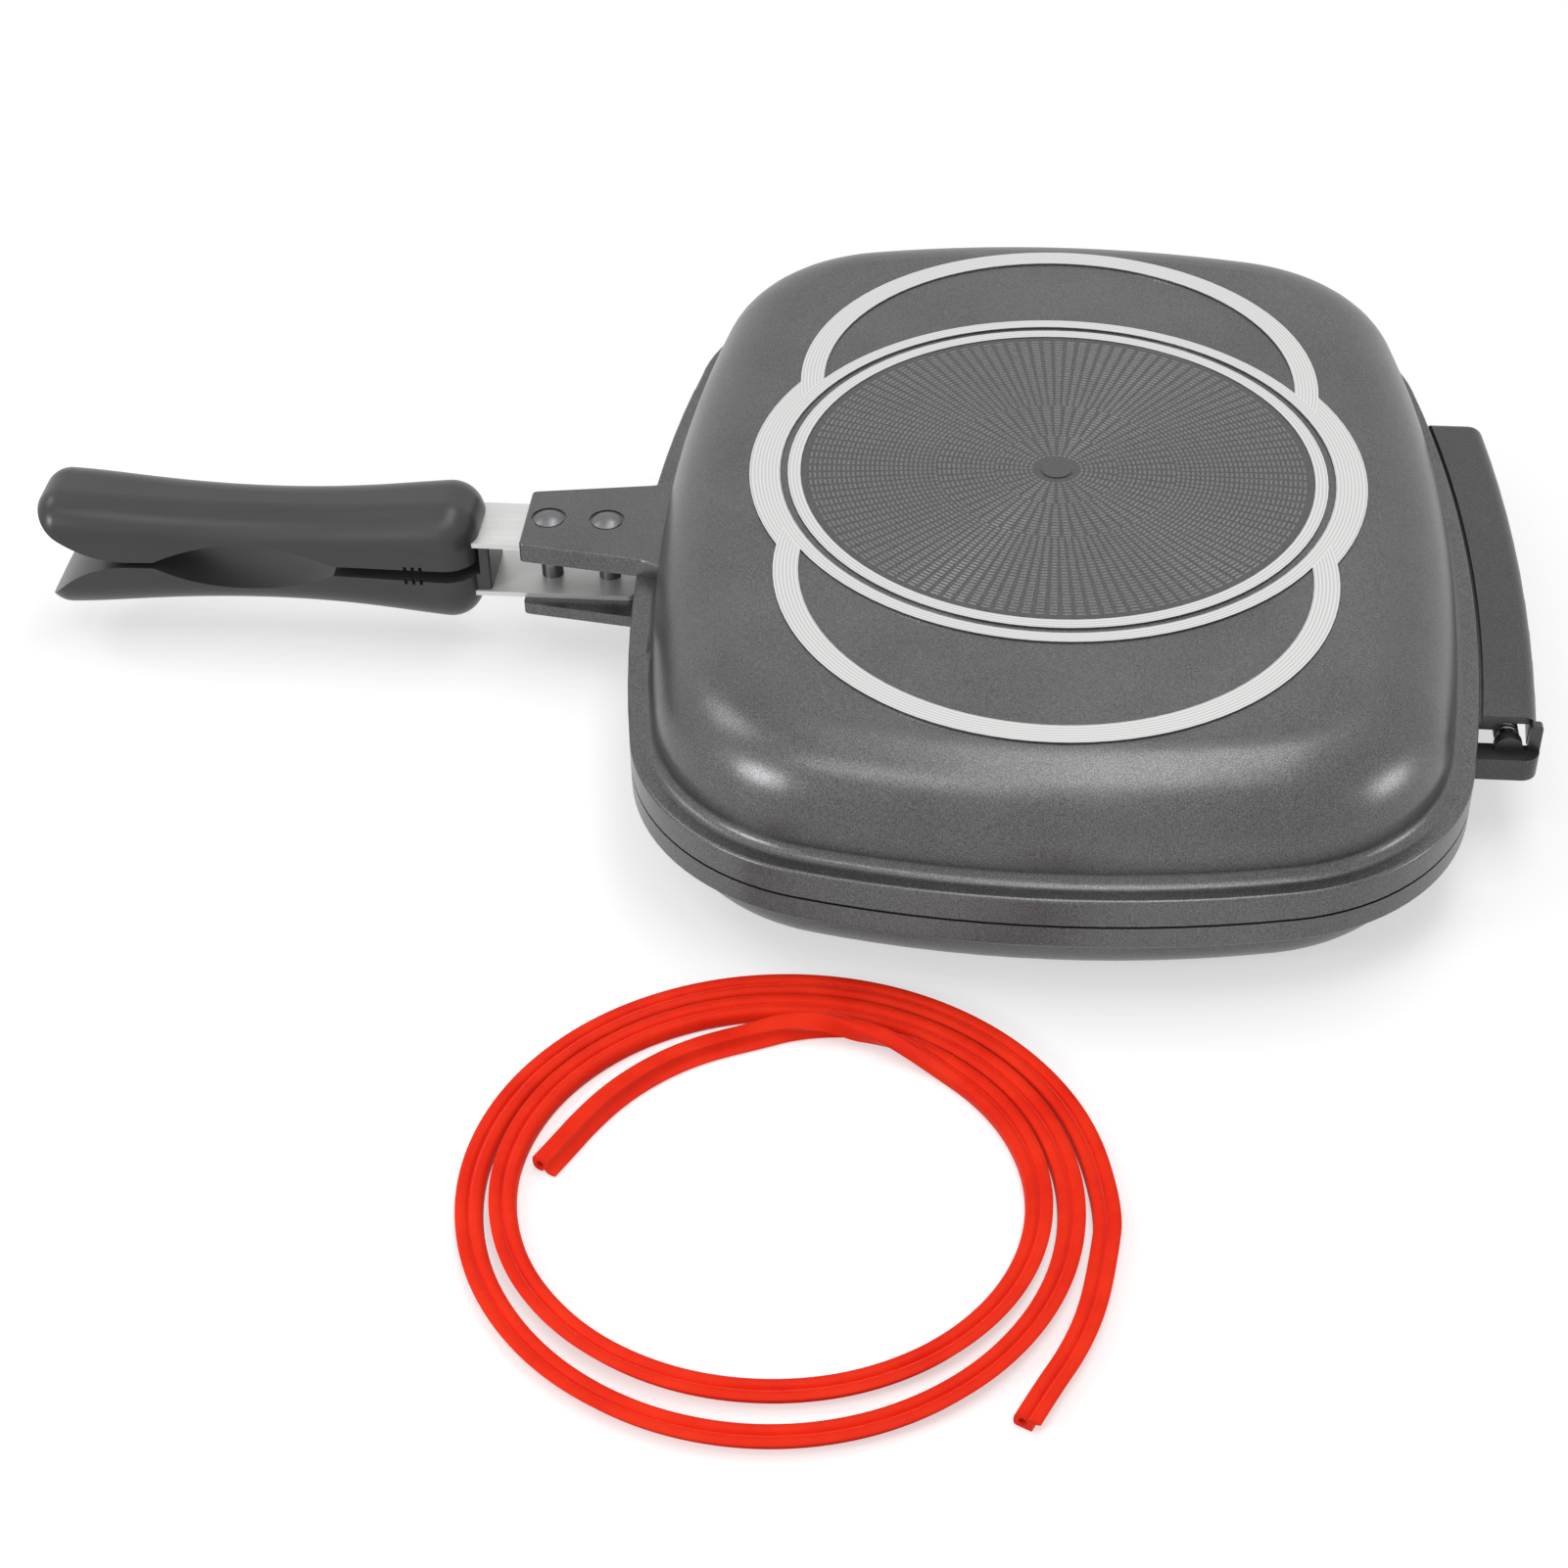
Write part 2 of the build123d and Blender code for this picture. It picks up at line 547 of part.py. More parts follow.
def half_grip(half, has_tongue):
    """One moulded half of the grip, with its tang slot, screw wells and magnet pocket."""
    widest = max(width for share, width, height in GRIP_SECTIONS)
    magnet_floor = parting_rise(MAGNET_X) + MAGNET_SINK + MAGNET_THICKNESS
    tang_end_x = STRAP_TAIL_X - TANG_CLEARANCE
    past_neck = GRIP_NECK_X + TONGUE_ROOT
    room = grip_side(half)
    with BuildPart() as grip:
        for share, width, height in GRIP_SECTIONS:
            x = GRIP_NECK_X - share * GRIP_LENGTH
            with BuildSketch(Plane(origin=(x, 0, half.origin.Z), x_dir=(0, 1, 0), z_dir=(1, 0, 0))):
                RectangleRounded(2 * width, 2 * height, GRIP_CORNER)
        loft()
        fillet(grip.faces().sort_by(Axis.X)[-1].edges(), radius=GRIP_NECK_FILLET)
        fillet(grip.faces().sort_by(Axis.X)[0].edges(), radius=GRIP_TAIL_FILLET)
        extrude(room, amount=2 * widest, both=True, mode=Mode.INTERSECT)
        with BuildSketch(half.offset(STRAP_INNER_RISE - TANG_CLEARANCE)):
            with Locations(((past_neck + tang_end_x) / 2, 0)):
                Rectangle(past_neck - tang_end_x, STRAP_WIDTH + 2 * TANG_CLEARANCE)
        extrude(amount=STRAP_THICKNESS + 2 * TANG_CLEARANCE, mode=Mode.SUBTRACT)
        if has_tongue:
            add(grip_tongue(half))
        with BuildSketch(half):
            with Locations(*[(x, 0) for x in SCREW_XS]):
                Circle(SCREW_HEAD_RADIUS + SCREW_HEAD_CLEARANCE)
        extrude(amount=STRAP_INNER_RISE, mode=Mode.SUBTRACT)
        with BuildSketch(half):
            with Locations(*[(x, 0) for x in SCREW_XS]):
                Circle(SCREW_RADIUS + SHANK_CLEARANCE)
        extrude(amount=STRAP_OUTER_RISE + SCREW_REACH + SCREW_HEAD_CLEARANCE, mode=Mode.SUBTRACT)
        with BuildSketch(half):
            with Locations((MAGNET_X, 0)):
                Circle(MAGNET_RADIUS + MAGNET_CLEARANCE)
        extrude(amount=magnet_floor, mode=Mode.SUBTRACT)
        with BuildSketch(half):
            for x in NOTCH_XS:
                with Locations((x, widest), (x, -widest)):
                    Rectangle(NOTCH_WIDTH, 2 * NOTCH_DEPTH)
        extrude(amount=parting_rise(NOTCH_XS[0]) + NOTCH_HEIGHT, mode=Mode.SUBTRACT)
    return grip.part


def grip_tongue(half):
    """The block at the neck of one half grip that fills the space between both straps."""
    root_x = GRIP_NECK_X - TONGUE_ROOT
    clear_x = GRIP_NECK_X + TONGUE_CLEARANCE
    tip_x = GRIP_NECK_X + TONGUE_REACH
    reach = STRAP_INNER_RISE - TONGUE_CLEARANCE
    with BuildPart() as tongue:
        with BuildSketch(half.offset(-reach)):
            with Locations(((clear_x + tip_x) / 2, 0)):
                Rectangle(tip_x - clear_x, TONGUE_WIDTH)
        extrude(amount=2 * reach)
        fillet(tongue.edges().filter_by(Axis.Z).group_by(Axis.X)[-1], radius=TONGUE_CORNER)
        with BuildSketch(half.offset(parting_rise(GRIP_NECK_X))):
            with Locations(((root_x + tip_x - TONGUE_CORNER) / 2, 0)):
                Rectangle(tip_x - TONGUE_CORNER - root_x, TONGUE_WIDTH)
        extrude(amount=reach - parting_rise(GRIP_NECK_X))
    return tongue.part


def grip_screws(half):
    """Both screws that draw a strap against its half grip, with slotted heads."""
    places = [(x, 0) for x in SCREW_XS]
    head_rise = STRAP_INNER_RISE - SCREW_HEAD_HEIGHT
    with BuildPart() as screws:
        with BuildSketch(half.offset(head_rise)):
            with Locations(*places):
                Circle(SCREW_HEAD_RADIUS)
        extrude(amount=SCREW_HEAD_HEIGHT)
        fillet(screws.edges().group_by(outward(half))[0], radius=SCREW_HEAD_EDGE)
        with BuildSketch(half.offset(STRAP_INNER_RISE)):
            with Locations(*places):
                Circle(SCREW_RADIUS)
        extrude(amount=STRAP_THICKNESS + SCREW_REACH)
        with BuildSketch(half.offset(head_rise)):
            with Locations(*places):
                Rectangle(3 * SCREW_HEAD_RADIUS, SCREW_SLOT_WIDTH)
        extrude(amount=SCREW_SLOT_DEPTH, mode=Mode.SUBTRACT)
    return screws.part


def grip_magnet(half):
    """The round magnet in a half grip's parting face, which holds the pan shut."""
    with BuildPart() as magnet:
        with BuildSketch(half.offset(parting_rise(MAGNET_X) + MAGNET_SINK)):
            with Locations((MAGNET_X, 0)):
                Circle(MAGNET_RADIUS)
        extrude(amount=MAGNET_THICKNESS)
        chamfer(magnet.edges().group_by(outward(half))[0], length=MAGNET_CHAMFER)
    return magnet.part


def hinge_section(high_y):
    """Plane across the hinge at a Y, from which an extrusion runs towards -Y."""
    return HINGE_SECTION.offset(-high_y)


def cover_plan(wall, high_y):
    """The hood seen from above, with its bowed outer side drawn in by a wall."""
    low_y = COVER_Y[0]
    inner_x = rim_x(high_y) - COVER_INSIDE_RIM
    end_x = PAN_HALF_X + COVER_END_REACH - wall
    middle_x = PAN_HALF_X + COVER_MIDDLE_REACH - wall
    with BuildSketch(mode=Mode.PRIVATE) as plan:
        with BuildLine():
            Line((inner_x, low_y), (end_x, low_y))
            ThreePointArc((end_x, low_y), (middle_x, (low_y + high_y) / 2), (end_x, high_y))
            Line((end_x, high_y), (inner_x, high_y))
            Line((inner_x, high_y), (inner_x, low_y))
        make_face()
        fillet(plan.vertices().group_by(Axis.Y)[-1].sort_by(Axis.X)[-1], radius=COVER_CORNER - wall)
    return plan.sketch


def hinge_cover():
    """The hood over the hinge: open at its near end, joined to the rim by a low bridge."""
    low_y, high_y = COVER_Y
    inner_x = rim_x(high_y) - COVER_INSIDE_RIM
    bridge_x = HINGE_X - math.sqrt((BARREL_RADIUS + BRIDGE_BARREL_CLEARANCE) ** 2 - BRIDGE_RISE[0] ** 2)
    with BuildPart() as cover:
        with BuildSketch(UPPER.offset(COVER_HEM_RISE)):
            add(cover_plan(0, high_y))
        extrude(amount=COVER_TOP_RISE - COVER_HEM_RISE)
        outer_top = cover.edges().group_by(Axis.Z)[-1].sort_by(Axis.X)[-1]
        fillet(outer_top, radius=COVER_TOP_FILLET)
        with BuildSketch(UPPER.offset(COVER_HEM_RISE)):
            add(cover_plan(COVER_WALL, high_y - COVER_END_WALL))
        extrude(amount=COVER_UNDER_RISE - COVER_HEM_RISE, mode=Mode.SUBTRACT)
        with BuildSketch(UPPER.offset(COVER_HEM_RISE)):
            add(pan_outline(-COVER_GAP))
        extrude(amount=COVER_TOP_RISE - COVER_HEM_RISE, mode=Mode.SUBTRACT)
        with BuildSketch(UPPER.offset(BRIDGE_RISE[0])):
            with Locations(((inner_x + bridge_x) / 2, (low_y + high_y) / 2)):
                Rectangle(bridge_x - inner_x, high_y - low_y)
            add(pan_outline(COVER_INSIDE_RIM), mode=Mode.SUBTRACT)
        extrude(amount=BRIDGE_RISE[1] - BRIDGE_RISE[0])
    return cover.part


def upper_knuckles():
    """The two barrels under the hood, each hung from it by a web."""
    web_rise = COVER_UNDER_RISE + WEB_OVERLAP
    with BuildPart() as knuckles:
        for high_y in (-UPPER_KNUCKLE_INNER_Y, UPPER_KNUCKLE_OUTER_Y):
            with BuildSketch(hinge_section(high_y)):
                Circle(BARREL_RADIUS)
                with Locations(((UPPER_WEB_HALF_WIDTH - BARREL_RADIUS) / 2, web_rise / 2)):
                    Rectangle(UPPER_WEB_HALF_WIDTH + BARREL_RADIUS, web_rise)
                Circle(BORE_RADIUS, mode=Mode.SUBTRACT)
            extrude(amount=UPPER_KNUCKLE_LENGTH)
    return knuckles.part


def lower_knuckles():
    """The two barrels on necks between the upper ones."""
    neck_low, neck_high = LOWER_NECK_RISE
    with BuildPart() as knuckles:
        for high_y in (LOWER_KNUCKLE_LENGTH - LOWER_KNUCKLE_OUTER_Y, LOWER_KNUCKLE_OUTER_Y):
            root = rim_x(high_y) - ROOT_OVERLAP - HINGE_X
            with BuildSketch(hinge_section(high_y)):
                Circle(BARREL_RADIUS)
                with Locations((root / 2, (neck_low + neck_high) / 2)):
                    Rectangle(-root, neck_high - neck_low)
                Circle(BORE_RADIUS, mode=Mode.SUBTRACT)
            extrude(amount=LOWER_KNUCKLE_LENGTH)
    return knuckles.part


def lower_end_block():
    """The near end of the hinge: a thick shelf on the lower rim, with a blind barrel and a fin."""
    low_y, high_y = END_BLOCK_Y
    shelf_low, shelf_high = SHELF_RISE
    root_x = rim_x(low_y) - ROOT_OVERLAP
    with BuildPart() as block:
        with BuildSketch(UPPER.offset(shelf_low)) as plan:
            with Locations(((root_x + SHELF_REACH_X) / 2, (low_y + high_y) / 2)):
                Rectangle(SHELF_REACH_X - root_x, high_y - low_y)
            fillet(plan.vertices().group_by(Axis.Y)[0].sort_by(Axis.X)[-1], radius=SHELF_CORNER)
        extrude(amount=shelf_high - shelf_low)
        with BuildSketch(hinge_section(high_y)):
            Circle(BARREL_RADIUS)
        extrude(amount=END_BARREL_LENGTH)
        fin_middle = SHELF_REACH_X - FIN_THICKNESS / 2 - HINGE_X
        with BuildSketch(hinge_section(high_y)) as fin:
            with Locations((fin_middle, (shelf_low + FIN_RISE) / 2)):
                Rectangle(FIN_THICKNESS, FIN_RISE - shelf_low)
            fillet(fin.vertices().group_by(Axis.Y)[-1], radius=FIN_CORNER)
        extrude(amount=min(FIN_LENGTH, high_y - low_y - SHELF_CORNER))
        with BuildSketch(hinge_section(high_y)):
            Circle(BORE_RADIUS)
        extrude(amount=high_y - BORE_NEAR_Y, mode=Mode.SUBTRACT)
    return block.part


def biarc(start, start_dir, end, end_dir):
    """Two arcs that leave one point and reach another along given directions."""
    span = end - start
    both = start_dir + end_dir
    square = both.dot(both) - 4
    linear = -2 * span.dot(both)
    constant = span.dot(span)
    reach = 2 * constant / (math.sqrt(linear**2 - 4 * square * constant) - linear)
    joint = (start + end + (start_dir - end_dir) * reach) / 2
    joint_dir = ((end - end_dir * reach) - (start + start_dir * reach)).normalized()
    TangentArc(start, joint, tangent=start_dir)
    TangentArc(joint, end, tangent=joint_dir)


def least_gap_to_itself(path, diameter, steps=1500):
    """Smallest clear distance between strands of a wound tube, measured on points."""
    points = [path @ (step / steps) for step in range(steps + 1)]
    skip = int(steps * 1.6 * diameter / path.length) + 1
    nearest = min(
        (points[i] - points[j]).length
        for i in range(0, steps + 1, 2)
        for j in range(i + skip, steps + 1, 2)
    )
    return nearest - diameter


def heading(degrees):
    """Unit vector on the table in a direction counted from +X."""
    return Vector(math.cos(math.radians(degrees)), math.sin(math.radians(degrees)), 0)


def coil_quarter(index):
    """Place and direction of the loose seal at each quarter turn, clockwise from the back."""
    angle = math.radians(90 - 90 * index)
    outward_dir = Vector(math.cos(angle), math.sin(angle), 0)
    clockwise = Vector(math.sin(angle), -math.cos(angle), 0)
    with_neighbours = (COIL_BEFORE_RADIUS, *COIL_QUARTER_RADII, COIL_AFTER_RADIUS)
    before, radius, after = with_neighbours[index : index + 3]
    place = Vector(*COIL_CENTRE) + outward_dir * radius
    direction = (clockwise * radius + outward_dir * ((after - before) / math.pi)).normalized()
    return place, direction


# Cast halves
lower_shell = pan_shell(LOWER, LOWER_DEPTH, LOWER_RIM_HEIGHT, LOWER_RIM_EDGE)
lower_bracket = handle_bracket(LOWER_HANDLE, 0, LOWER_BRACKET_PLATE)
lower_cavity = cooking_cavity(LOWER, LOWER_DEPTH)
lower_hinge = lower_knuckles()
end_block = lower_end_block()
with BuildPart() as lower_pan:
    add(lower_shell)
    add(lower_bracket)
    add(lower_hinge)
    add(end_block)
    with BuildSketch(LOWER.offset(LOWER_DEPTH - LAND_HEIGHT)):
        add(base_lands())
    extrude(amount=LAND_HEIGHT)
    with BuildSketch(LOWER.offset(LOWER_DEPTH - LAND_HEIGHT - DISC_RECESS)):
        Circle(INNER_BAND[0])
    extrude(amount=DISC_RECESS, mode=Mode.SUBTRACT)
    add(lower_cavity, mode=Mode.SUBTRACT)
    with BuildSketch(LOWER.offset(HALF_GAP)):
        add(outline_band(GROOVE_INSET, GROOVE_INSET + GROOVE_WIDTH))
    extrude(amount=GROOVE_DEPTH, mode=Mode.SUBTRACT)
    with BuildSketch(LOWER.offset(LOWER_DEPTH - LAND_HEIGHT - FLOOR)):
        with GridLocations(1, RIDGE_PITCH, 1, RIDGE_COUNT):
            Rectangle(2 * PAN_HALF_X, RIDGE_WIDTH)
        add(pan_outline(WALL_INSET + BASE_FILLET - FLOOR + RIDGE_MARGIN), mode=Mode.INTERSECT)
    extrude(amount=-RIDGE_HEIGHT, taper=RIDGE_DRAFT)
save(lower_pan.part, "lower_pan")

upper_shell = pan_shell(UPPER, UPPER_DEPTH, UPPER_RIM_HEIGHT, UPPER_RIM_EDGE)
upper_bracket = handle_bracket(UPPER_HANDLE, UPPER_BRACKET_WALL, UPPER_BRACKET_PLATE)
upper_cavity = cooking_cavity(UPPER, UPPER_DEPTH)
upper_hinge = upper_knuckles()
cover = hinge_cover()
with BuildPart() as upper_pan:
    add(upper_shell)
    add(upper_bracket)
    add(cover)
    add(upper_hinge)
    with BuildSketch(UPPER.offset(UPPER_DEPTH - LAND_HEIGHT)):
        add(base_lands())
    extrude(amount=LAND_HEIGHT)
    with BuildSketch(UPPER.offset(UPPER_DEPTH - LAND_HEIGHT - DISC_RECESS)):
        Circle(INNER_BAND[0])
    extrude(amount=DISC_RECESS, mode=Mode.SUBTRACT)
    add(upper_cavity, mode=Mode.SUBTRACT)
save(upper_pan.part, "upper_pan")

# Base discs
save(base_disc(LOWER, LOWER_DEPTH), "lower_base_disc")
save(base_disc(UPPER, UPPER_DEPTH), "upper_base_disc")

# Rim seal
with BuildPart() as rim_seal:
    with BuildSketch(LOWER.offset(HALF_GAP + GROOVE_DEPTH)):
        add(outline_band(GROOVE_INSET + SEAL_CLEARANCE, GROOVE_INSET + GROOVE_WIDTH - SEAL_CLEARANCE))
    extrude(amount=-(GROOVE_DEPTH + SEAL_PROUD))
    fillet(rim_seal.faces().sort_by(Axis.Z)[-1].edges(), radius=SEAL_CROWN_FILLET)
save(rim_seal.part, "rim_seal")

# Handle pieces of both halves
for name, half, face_rise in (
    ("lower", LOWER_HANDLE, LOWER_FACE_RISE),
    ("upper", UPPER_HANDLE, UPPER_FACE_RISE),
):
    save(handle_strap(half), f"{name}_handle_strap")
    save(strap_rivets(half, face_rise), f"{name}_strap_rivets")
    save(half_grip(half, has_tongue=name == "lower"), f"{name}_grip")
    save(grip_screws(half), f"{name}_grip_screws")
    save(grip_magnet(half), f"{name}_grip_magnet")

# Hinge pin with a domed near end and a clip groove at its far end
dome_x, dome_up = dome_middle(PIN_RADIUS, PIN_DOME_HEIGHT)
with BuildPart() as hinge_pin:
    with BuildSketch(Plane(origin=(HINGE_X, 0, SEAM_Z), x_dir=(1, 0, 0), z_dir=(0, 0, 1))):
        with BuildLine():
            ThreePointArc(
                (0, PIN_NEAR_Y - PIN_DOME_HEIGHT),
                (dome_x, PIN_NEAR_Y - dome_up),
                (PIN_RADIUS, PIN_NEAR_Y),
            )
            Polyline(
                (PIN_RADIUS, PIN_NEAR_Y),
                (PIN_RADIUS, CLIP_Y - CLIP_CLEARANCE),
                (CLIP_SEAT_RADIUS, CLIP_Y - CLIP_CLEARANCE),
                (CLIP_SEAT_RADIUS, CLIP_Y + CLIP_THICKNESS + CLIP_CLEARANCE),
                (PIN_RADIUS, CLIP_Y + CLIP_THICKNESS + CLIP_CLEARANCE),
                (PIN_RADIUS, PIN_FAR_Y),
                (0, PIN_FAR_Y),
                (0, PIN_NEAR_Y - PIN_DOME_HEIGHT),
            )
        make_face()
    revolve(axis=Axis((HINGE_X, 0, SEAM_Z), (0, 1, 0)))
save(hinge_pin.part, "hinge_pin")

# Clip on the pin's far end
with BuildPart() as hinge_pin_clip:
    with BuildSketch(hinge_section(CLIP_Y + CLIP_THICKNESS)):
        Circle(CLIP_RADIUS)
        Circle(CLIP_SEAT_RADIUS + CLIP_CLEARANCE, mode=Mode.SUBTRACT)
        with Locations((0, -CLIP_RADIUS / 2)):
            Rectangle(CLIP_MOUTH, CLIP_RADIUS, mode=Mode.SUBTRACT)
    extrude(amount=CLIP_THICKNESS)
save(hinge_pin_clip.part, "hinge_pin_clip")

# Washers between the knuckles
with BuildPart() as hinge_washers:
    for side_y in (-UPPER_KNUCKLE_INNER_Y + WASHER_SPACE, UPPER_KNUCKLE_INNER_Y):
        with BuildSketch(hinge_section(side_y - WASHER_CLEARANCE)):
            Circle(WASHER_RADIUS)
            Circle(BORE_RADIUS, mode=Mode.SUBTRACT)
        extrude(amount=WASHER_THICKNESS)
save(hinge_washers.part, "hinge_washers")

# Torsion spring around the pin, with one leg on the lower rim
leg_length = HINGE_X - rim_x(SPRING_START_Y) - SPRING_LEG_CLEARANCE
turn_rise = SPRING_PITCH / (2 * math.pi)
with BuildPart() as hinge_spring:
    with BuildLine() as spring_path:
        quarters = []
        for quarter in range(4 * SPRING_TURNS + 1):
            angle = math.radians(90 * quarter - 90)
            slope = turn_rise if 0 < quarter < 4 * SPRING_TURNS else 0
            spot = Vector(
                HINGE_X + SPRING_MEAN_RADIUS * math.cos(angle),
                SPRING_START_Y + SPRING_PITCH * quarter / 4,
                SEAM_Z + SPRING_MEAN_RADIUS * math.sin(angle),
            )
            along = Vector(
                -SPRING_MEAN_RADIUS * math.sin(angle), slope, SPRING_MEAN_RADIUS * math.cos(angle)
            )
            quarters.append((spot, along.normalized()))
        first, first_dir = quarters[0]
        last, last_dir = quarters[-1]
        Line(first - first_dir * leg_length, first)
        for (spot, along), (next_spot, next_along) in zip(quarters, quarters[1:]):
            biarc(spot, along, next_spot, next_along)
        Line(last, last + last_dir * SPRING_END_LEG)
    wire = spring_path.wire()
    with BuildSketch(Plane(origin=wire @ 0, z_dir=wire % 0)):
        Circle(SPRING_WIRE_RADIUS)
    sweep(path=wire)
print("hinge spring, least gap between turns:", round(least_gap_to_itself(wire, 2 * SPRING_WIRE_RADIUS), 2))
save(hinge_spring.part, "hinge_spring")

# Loose spare seal, coiled flat on the table
with BuildPart() as spare_seal:
    with BuildLine() as coil_path:
        inner_dir = heading(COIL_INNER_HEADING)
        outer_dir = heading(COIL_OUTER_HEADING)
        inner_end = Vector(*COIL_INNER_END)
        outer_end = Vector(*COIL_OUTER_END)
        stops = [(inner_end + inner_dir * SPARE_WIDTH, inner_dir)]
        stops.append((Vector(*COIL_INNER_BEND), heading(COIL_INNER_BEND_HEADING)))
        stops += [coil_quarter(index) for index in range(len(COIL_QUARTER_RADII))]
        stops.append((outer_end - outer_dir * SPARE_WIDTH, outer_dir))
        Line(inner_end, stops[0][0])
        for (place, direction), (next_place, next_direction) in zip(stops, stops[1:]):
            biarc(place, direction, next_place, next_direction)
        Line(stops[-1][0], outer_end)
    route = coil_path.wire()
    with BuildSketch(Plane(origin=route @ 0, x_dir=(0, 0, 1), z_dir=route % 0)):
        with Locations((SPARE_BULB_RADIUS, SPARE_BULB_RADIUS - SPARE_WIDTH / 2)):
            Circle(SPARE_BULB_RADIUS)
        with Locations((SPARE_STEM_HEIGHT / 2, SPARE_BULB_RADIUS - SPARE_WIDTH / 2 + SPARE_STEM_WIDTH / 2)):
            Rectangle(SPARE_STEM_HEIGHT, SPARE_STEM_WIDTH)
        with Locations((2 * SPARE_BULB_RADIUS - SPARE_LIP_THICKNESS / 2, SPARE_BULB_RADIUS / 2)):
            Rectangle(SPARE_LIP_THICKNESS, SPARE_WIDTH - SPARE_BULB_RADIUS)
        with Locations((SPARE_BULB_RADIUS, SPARE_BULB_RADIUS - SPARE_WIDTH / 2)):
            Circle(SPARE_BORE_RADIUS, mode=Mode.SUBTRACT)
        with Locations((2 * SPARE_BULB_RADIUS, 0)):
            Rectangle(2 * SPARE_LINE_DEPTH, SPARE_LINE_WIDTH, mode=Mode.SUBTRACT)
    sweep(path=route)
print("spare seal, length:", round(route.length, 1))
print("spare seal, least gap between strands:", round(least_gap_to_itself(route, SPARE_WIDTH), 2))
save(spare_seal.part, "spare_seal")
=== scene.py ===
import json
import math

import bpy
import bmesh
from mathutils import Matrix, Vector


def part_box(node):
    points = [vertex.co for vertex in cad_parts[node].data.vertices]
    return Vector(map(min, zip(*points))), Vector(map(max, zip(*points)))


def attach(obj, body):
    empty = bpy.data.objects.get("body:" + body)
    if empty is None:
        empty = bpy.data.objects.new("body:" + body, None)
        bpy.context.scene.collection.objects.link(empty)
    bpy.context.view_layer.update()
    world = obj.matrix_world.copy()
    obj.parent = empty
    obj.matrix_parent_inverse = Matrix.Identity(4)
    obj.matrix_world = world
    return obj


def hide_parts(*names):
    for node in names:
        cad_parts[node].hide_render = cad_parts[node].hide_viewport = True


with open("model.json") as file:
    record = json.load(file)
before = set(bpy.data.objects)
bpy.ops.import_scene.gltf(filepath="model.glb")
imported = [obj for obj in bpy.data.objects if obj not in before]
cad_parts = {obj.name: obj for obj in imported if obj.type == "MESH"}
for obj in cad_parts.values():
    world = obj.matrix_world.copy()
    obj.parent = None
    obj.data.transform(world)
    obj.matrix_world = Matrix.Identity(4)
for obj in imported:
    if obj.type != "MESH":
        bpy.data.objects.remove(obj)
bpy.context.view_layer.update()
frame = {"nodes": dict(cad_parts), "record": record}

# The looks of a double-sided grill pan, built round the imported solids. Lengths named _MM are in
# millimetres and become metres through MM; everything else is in metres.

MM = 0.001

# Camera, in the photograph's place
CAMERA_PLACE = (-0.01434, -0.75287, 0.56419)
CAMERA_ELEVATION = math.radians(39.453)
CAMERA_YAW = math.radians(5.549)
CAMERA_ROLL = math.radians(-1.131)
CAMERA_LENS = 65.30
CAMERA_SENSOR = 36.0

# Floor, surroundings and soft boxes: name, place, size and brightness of each box
FLOOR_REACH = 6.0
FLOOR_DROP = 0.0002
FLOOR_COLOUR = (0.62, 0.62, 0.62)
FLOOR_GLOW = 0.5
AMBIENT = 0.42
LIGHT_TARGET = (0.0, 0.0, 0.04)
LIGHTS = (
    ("overhead", (0.15, 0.0, 1.25), (1.3, 0.42), 3.2),
    ("front_left_high", (-0.3, -0.65, 1.13), (0.5, 0.3), 3.0),
    ("front_left_low", (-0.97, -0.79, 0.55), (0.34, 0.3), 13.0),
    ("left", (-1.1, 0.2, 1.1), (0.45, 0.45), 3.5),
    ("right", (1.26, -0.28, 0.3), (0.34, 0.3), 8.0),
)

# Loose seal: the solid's route, with a section that is drawn a little wider
SEAL_WIDTH_MM = 7.4
SEAL_HEIGHT_MM = 4.6
COIL_CENTRE_MM = (-65.8, -243.9)
COIL_QUARTER_RADII_MM = (62.6, 67.2, 65.2, 75.0, 71.0, 75.6, 79.2, 83.4, 79.4, 84.0)
COIL_BEFORE_RADIUS_MM = 66.6
COIL_AFTER_RADIUS_MM = 87.6
COIL_STEPS_PER_QUARTER = 4
COIL_START_MM = (
    (-131.0, -238.1), (-126.9, -230.3), (-122.6, -221.5), (-115.8, -210.5), (-106.6, -200.3),
    (-95.4, -191.9), (-81.4, -185.5),
)
COIL_FINISH_MM = ((18.0, -260.9), (15.4, -277.3), (10.6, -291.5), (4.4, -303.3), (-0.6, -313.9))

# Loose seal's section: across the strip from the coil's outside to its inside, and up
SEAL_SECTION_MM = (
    (-1.4, 0.0), (0.8, 0.0), (2.9, 0.0), (3.5, 0.35), (3.7, 1.2), (3.7, 2.4), (3.5, 3.5),
    (2.9, 4.25), (1.9, 4.6), (1.0, 4.5), (0.4, 4.1), (0.05, 3.5), (-0.35, 3.5), (-0.65, 4.1),
    (-1.2, 4.5), (-2.3, 4.58), (-3.3, 4.45), (-3.7, 4.15), (-3.7, 3.75), (-3.2, 3.5),
    (-2.1, 3.25), (-1.6, 2.8), (-1.45, 1.8), (-1.4, 0.9),
)
SEAL_BORE_CENTRE_MM = (1.2, 2.2)
SEAL_BORE_RADIUS_MM = 1.25
SEAL_BORE_DEPTH_MM = 9.0
SEAL_TWIST_START = 0.072
SEAL_TWIST_END = 0.140
ROUTE_RESOLUTION = 10
SEAL_SHARP_DEGREES = 50

